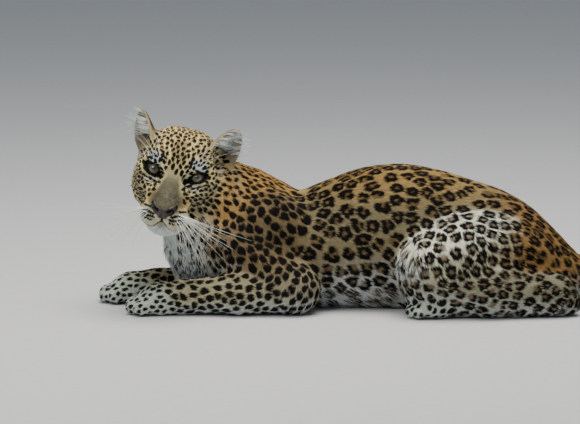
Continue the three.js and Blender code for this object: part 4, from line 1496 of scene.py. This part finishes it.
def eye_ball(rings=40, spokes=64):
    """Points of a ball about its line of sight, its faces, and how far each is off that line."""
    gaze_aside = unit(np.cross((0, 0, 1), GAZE))
    gaze_up = np.cross(GAZE, gaze_aside)
    theta = math.pi * np.linspace(0, 1, rings + 1)[1:-1] ** 1.15
    phi = np.arange(spokes) / spokes * 2 * math.pi
    radius = BALL_RADIUS + DOME * np.exp(-(theta / 0.47) ** 2)
    flat = (radius * np.sin(theta))[:, None, None]
    ahead = (radius * np.cos(theta))[:, None, None]
    ring = flat * (np.cos(phi)[:, None] * gaze_aside + np.sin(phi)[:, None] * gaze_up) + ahead * GAZE
    points = np.vstack(((BALL_RADIUS + DOME) * GAZE, ring.reshape(-1, 3), -BALL_RADIUS * GAZE))
    off = np.where(theta < 1.5, flat[:, 0, 0], EYE_RADIUS)
    off = np.r_[0, np.repeat(off, spokes), EYE_RADIUS]
    n = np.arange(spokes)
    m = (n + 1) % spokes
    faces = [np.stack((n * 0, 1 + n, 1 + m), 1)]
    for i in range(rings - 2):
        near = 1 + i * spokes
        far = near + spokes
        faces += [np.stack((near + n, far + n, far + m), 1), np.stack((near + n, far + m, near + m), 1)]
    last = 1 + (rings - 2) * spokes
    faces.append(np.stack((last + n, n * 0 + len(points) - 1, last + m), 1))
    return points, np.vstack(faces), off


ball_points, ball_faces, off_line = eye_ball()
print("eyeballs", len(ball_faces), "faces each")

# %% Eyes
RAMP_END = 12.0
PUPIL_BLACK = (0.003, 0.003, 0.003)


def eye_finish():
    """A wet ball: pupil, olive iris with streaks, dark ring and dark white, by the distance off
    the line of sight."""
    made, tree, shader = new_material("eye", 0.25)
    shader.inputs["Coat Weight"].default_value = 1.0
    shader.inputs["Coat Roughness"].default_value = 0.02
    off = attribute(tree, "off").outputs["Fac"]
    ramp = tree.nodes.new("ShaderNodeValToRGB")
    stops = ((0.0, PUPIL_BLACK), (PUPIL_RADIUS - 0.3, PUPIL_BLACK),
             (PUPIL_RADIUS + 0.3, (0.075, 0.06, 0.03)), (6.2, (0.17, 0.16, 0.095)),
             (IRIS_RADIUS - 0.9, (0.11, 0.105, 0.065)), (IRIS_RADIUS, (0.008, 0.007, 0.005)),
             (RAMP_END, (0.03, 0.015, 0.01)))
    while len(ramp.color_ramp.elements) < len(stops):
        ramp.color_ramp.elements.new(0.5)
    for element, (where, colour) in zip(ramp.color_ramp.elements, stops):
        element.position = where / RAMP_END
        element.color = (*colour, 1)
    tree.links.new(maths(tree, "DIVIDE", off, RAMP_END), ramp.inputs["Fac"])
    streaks = maths(tree, "ADD", maths(tree, "MULTIPLY", noise(tree, 900, 4), 0.9), 0.55)
    colour = mixed(tree, 1.0, ramp.outputs["Color"], streaks, "MULTIPLY")
    tree.links.new(colour, shader.inputs["Base Color"])
    return made


finish = eye_finish()
for s, word in ((-1, "right"), (1, "left")):
    eye = new_mesh(f"eyeball_{word}", ball_points + eye_middle(s), ball_faces)
    point_values(eye.data, "off", off_line)
    eye.data.materials.append(finish)
    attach(eye, "root")
    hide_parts(f"eye_{word}")
    print("middle of the eyeball", word, eye_middle(s).round(1))

# %% [markdown]
# ## Nose leather
# The nose's bare skin is one damp, finely cobbled pad, wide at the nostrils and narrow at the
# lip, with a groove down the middle. It is cut from the same forms as the skin, on a finer grid, and
# stands just over the hair's roots, so its edge is a real edge.

# %% Form of the nose leather
NOSE_STEP = 0.8
NOSE_BACK = 68
nose_axes = [np.arange(*ends, NOSE_STEP) for ends in ((62, 96), (-25, 25.5), (-63, -26))]
nose_grid = grid_points(*nose_axes)
nose_places = EYES_MIDDLE + nose_grid @ HEAD
solid = np.full(nose_places.shape[:-1], FAR_OUT)
for form in head:
    solid = soft_union(solid, form.distance(nose_places), form.soft)
cleft = groove([(91, 0, -43), (87, 0, -52), (84, 0, -57)], 1, 0.9)
for form in [cleft, lips[0], *nostrils]:
    solid = soft_cut(solid, form.distance(nose_places) - 0.2, form.soft)
solid = soft_both(solid + 0.2, -nose_leather(nose_places), 1.6)
solid = np.maximum(solid, NOSE_BACK - nose_grid[..., 0])
nose_points, nose_squares = surface_nets(solid, nose_axes)
nose_points = EYES_MIDDLE + nose_points @ HEAD
print("nose leather", len(nose_squares), "squares")

# %% Nose leather
LEATHER_BLACK = (0.010, 0.0065, 0.0065)
LEATHER_BROWN = (0.036, 0.021, 0.019)
nose = new_mesh("nose_leather", nose_points, nose_squares)
made, tree, shader = new_material("nose", 0.42)
shader.inputs["Coat Weight"].default_value = 0.25
shader.inputs["Coat Roughness"].default_value = 0.25
patch = maths(tree, "MULTIPLY", maths(tree, "SUBTRACT", noise(tree, 90, 3), 0.38), 2.4, True)
tree.links.new(mixed(tree, patch, LEATHER_BLACK, LEATHER_BROWN), shader.inputs["Base Color"])
cobbles = tree.nodes.new("ShaderNodeTexVoronoi")
cobbles.inputs["Scale"].default_value = 900
place = tree.nodes.new("ShaderNodeTexCoord")
tree.links.new(place.outputs["Object"], cobbles.inputs["Vector"])
bumped(tree, shader, cobbles.outputs["Distance"], 0.35, 0.0006)
nose.data.materials.append(made)
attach(nose, "root")
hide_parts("nose")
nose_width = np.ptp(head_places(nose_points)[:, 1])
print("nose leather, mm wide", round(float(nose_width), 1))

# %% [markdown]
# ## Whiskers
# Whiskers are stiff white hairs, one to one and a half millimetres thick at the root and about
# 10 cm long, in four rows on each pad, with a few over each eye. They leave the pad sideways and
# droop with their weight. Each is a tapered closed tube along a bent line: a bare curve would vanish
# when the model leaves Blender.

# %% Tapered tubes
def tube(line, radius, sides=5):
    """A tapered closed tube along a line, as points and triangles."""
    line = np.array(line)
    ahead = unit(np.gradient(line, axis=0))
    aside = unit(np.cross(ahead, (0.3, 0.2, 1.0)))
    over = np.cross(ahead, aside)
    angle = np.arange(sides) / sides * 2 * math.pi
    thick = radius * (1 - np.linspace(0, 0.85, len(line)))[:, None, None]
    round_it = np.cos(angle)[:, None] * aside[:, None] + np.sin(angle)[:, None] * over[:, None]
    points = line[:, None] + thick * round_it
    n = np.arange(sides)
    m = (n + 1) % sides
    faces = []
    for i in range(len(line) - 1):
        a, b = i * sides, (i + 1) * sides
        faces += [np.stack((a + n, a + m, b + m), 1), np.stack((a + n, b + m, b + n), 1)]
    last = (len(line) - 1) * sides
    fan = np.arange(1, sides - 1)
    faces.append(np.stack((fan * 0, fan + 1, fan), 1))
    faces.append(np.stack((fan * 0 + last, last + fan, last + fan + 1), 1))
    return points.reshape(-1, 3), np.vstack(faces)


def bent(root, middle, end, steps=14):
    """Points along a bend from a root to an end that leaves towards the middle point."""
    t = np.linspace(0, 1, steps)[:, None]
    return (1 - t) ** 2 * root + 2 * t * (1 - t) * middle + t ** 2 * end


print("a whisker has", len(tube(bent(np.zeros(3), UP, FORWARD), 1.0)[1]), "faces")

# %% Whiskers
# Each row's height, how far aside it starts, and how many whiskers it has
ROWS = ((-44, 29, 4), (-50, 26, 4), (-56, 25, 3), (-62, 25, 3))
PAD_THICK = 0.75
BROW_THICK = 0.5
LONGEST = {-1: 98, 1: 118}
tubes = []
for s in (-1, 1):
    for row, (u, first, many) in enumerate(ROWS):
        for n in range(many):
            l = first + n * 5.6
            root, normal = on_skin(78 - 0.9 * n * n, s * l, u - n * 0.5)
            fall = math.radians(13 + row * 14 + (3 - n) * 5 + rng.uniform(-5, 5))
            long = LONGEST[s] * rng.uniform(0.78, 1.05) * (1 - 0.08 * row)
            out = s * math.cos(fall) * LEFT - math.sin(fall) * UP - (0.12 + 0.05 * n) * FORWARD
            side_first = s * LEFT * (0.75 - 0.13 * row) - UP * (0.1 + 0.12 * row) + FORWARD * 0.3
            line = bent(root - normal, root + side_first * long * 0.42, root + out * long)
            tubes.append(tube(line, PAD_THICK))
    for n in range(4):
        root, normal = on_skin(2, s * (31 + n * 5), 24 - n)
        end = root + UP * (46 - n * 4) + s * LEFT * (16 + n * 8) + FORWARD * (14 - 5 * n)
        tubes.append(tube(bent(root - normal, root + normal * 14 + UP * 12, end), BROW_THICK))
start = 0
points = []
faces = []
for tube_points, tube_faces in tubes:
    points.append(tube_points)
    faces.append(tube_faces + start)
    start += len(tube_points)
whiskers = new_mesh("whiskers", np.vstack(points), np.vstack(faces))
made, tree, shader = new_material("whiskers", 0.35)
white = mixed(tree, noise(tree, 40), (0.72, 0.72, 0.68), (0.95, 0.95, 0.92))
tree.links.new(white, shader.inputs["Base Color"])
whiskers.data.materials.append(made)
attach(whiskers, "root")
print("whiskers", len(tubes))

# %% [markdown]
# ## Floor, light and camera
# The floor is a plain pale sheet with a faint grain. One large soft lamp stands over the animal and
# a weaker one before it, with a cool dim sky, so the back is brightest and the flank falls into soft
# shade. The camera stands low and far, with the framing of the photo.

# %% Floor
FLOOR_HALF = 6000
floor_corners = [(x * FLOOR_HALF, y * FLOOR_HALF, 0) for x, y in ((-1, -1), (1, -1), (1, 1), (-1, 1))]
floor = new_mesh("floor", floor_corners, [(0, 1, 2, 3)])
made, tree, shader = new_material("floor", 0.7, 0.3)
grain = mixed(tree, noise(tree, 60, 4), (0.58, 0.575, 0.56), (0.66, 0.655, 0.64))
tree.links.new(grain, shader.inputs["Base Color"])
bumped(tree, shader, noise(tree, 500, 3), 0.15, 0.001)
floor.data.materials.append(made)
print("floor, metres across", 2 * FLOOR_HALF / 1000)

# %% Light
world = bpy.data.worlds.new("studio")
world.use_nodes = True
world.node_tree.nodes["Background"].inputs["Color"].default_value = (0.78, 0.88, 1.0, 1)
world.node_tree.nodes["Background"].inputs["Strength"].default_value = 0.33
bpy.context.scene.world = world


def area_light(name, place, target, size, power, color):
    """A round lamp at a place, turned to its target; metres and watts."""
    data = bpy.data.lights.new(name, "AREA")
    data.shape = "DISK"
    data.size = size
    data.energy = power
    data.color = color
    lamp = bpy.data.objects.new(name, data)
    lamp.location = place
    direction = Vector(target) - Vector(place)
    lamp.rotation_mode = "QUATERNION"
    lamp.rotation_quaternion = direction.to_track_quat("-Z", "Y")
    bpy.context.scene.collection.objects.link(lamp)


area_light("key", (-1.3, -1.7, 2.0), (-0.1, 0, 0.15), 1.4, 26, (1.0, 0.98, 0.95))
area_light("top", (0.2, -0.1, 2.6), (0.1, 0, 0.1), 2.0, 92, (1.0, 0.98, 0.94))
print("lamps", len(bpy.data.lights))

# %% Camera
ELEVATION = math.radians(9)
AIM = Vector((0, 0, 0.160))
DISTANCE = 8.0
FRAME_WIDE = 1.015
SENSOR = 36
camera = bpy.data.objects.new("camera", bpy.data.cameras.new("camera"))
camera.data.sensor_width = SENSOR
camera.data.lens = SENSOR * DISTANCE / FRAME_WIDE
camera.data.clip_start = 0.1
camera.data.clip_end = 60
camera.location = AIM + DISTANCE * Vector((0, -math.cos(ELEVATION), math.sin(ELEVATION)))
camera.rotation_euler = (math.pi / 2 - ELEVATION, 0, 0)
bpy.context.scene.collection.objects.link(camera)
bpy.context.scene.camera = camera
print("lens, mm", round(camera.data.lens, 1))

# %% Sizes and the end
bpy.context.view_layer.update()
shown = [o.data for o in bpy.data.objects if o.type == "MESH" and not o.hide_render]
print("triangles", sum(len(p.vertices) - 2 for mesh in shown for p in mesh.polygons))
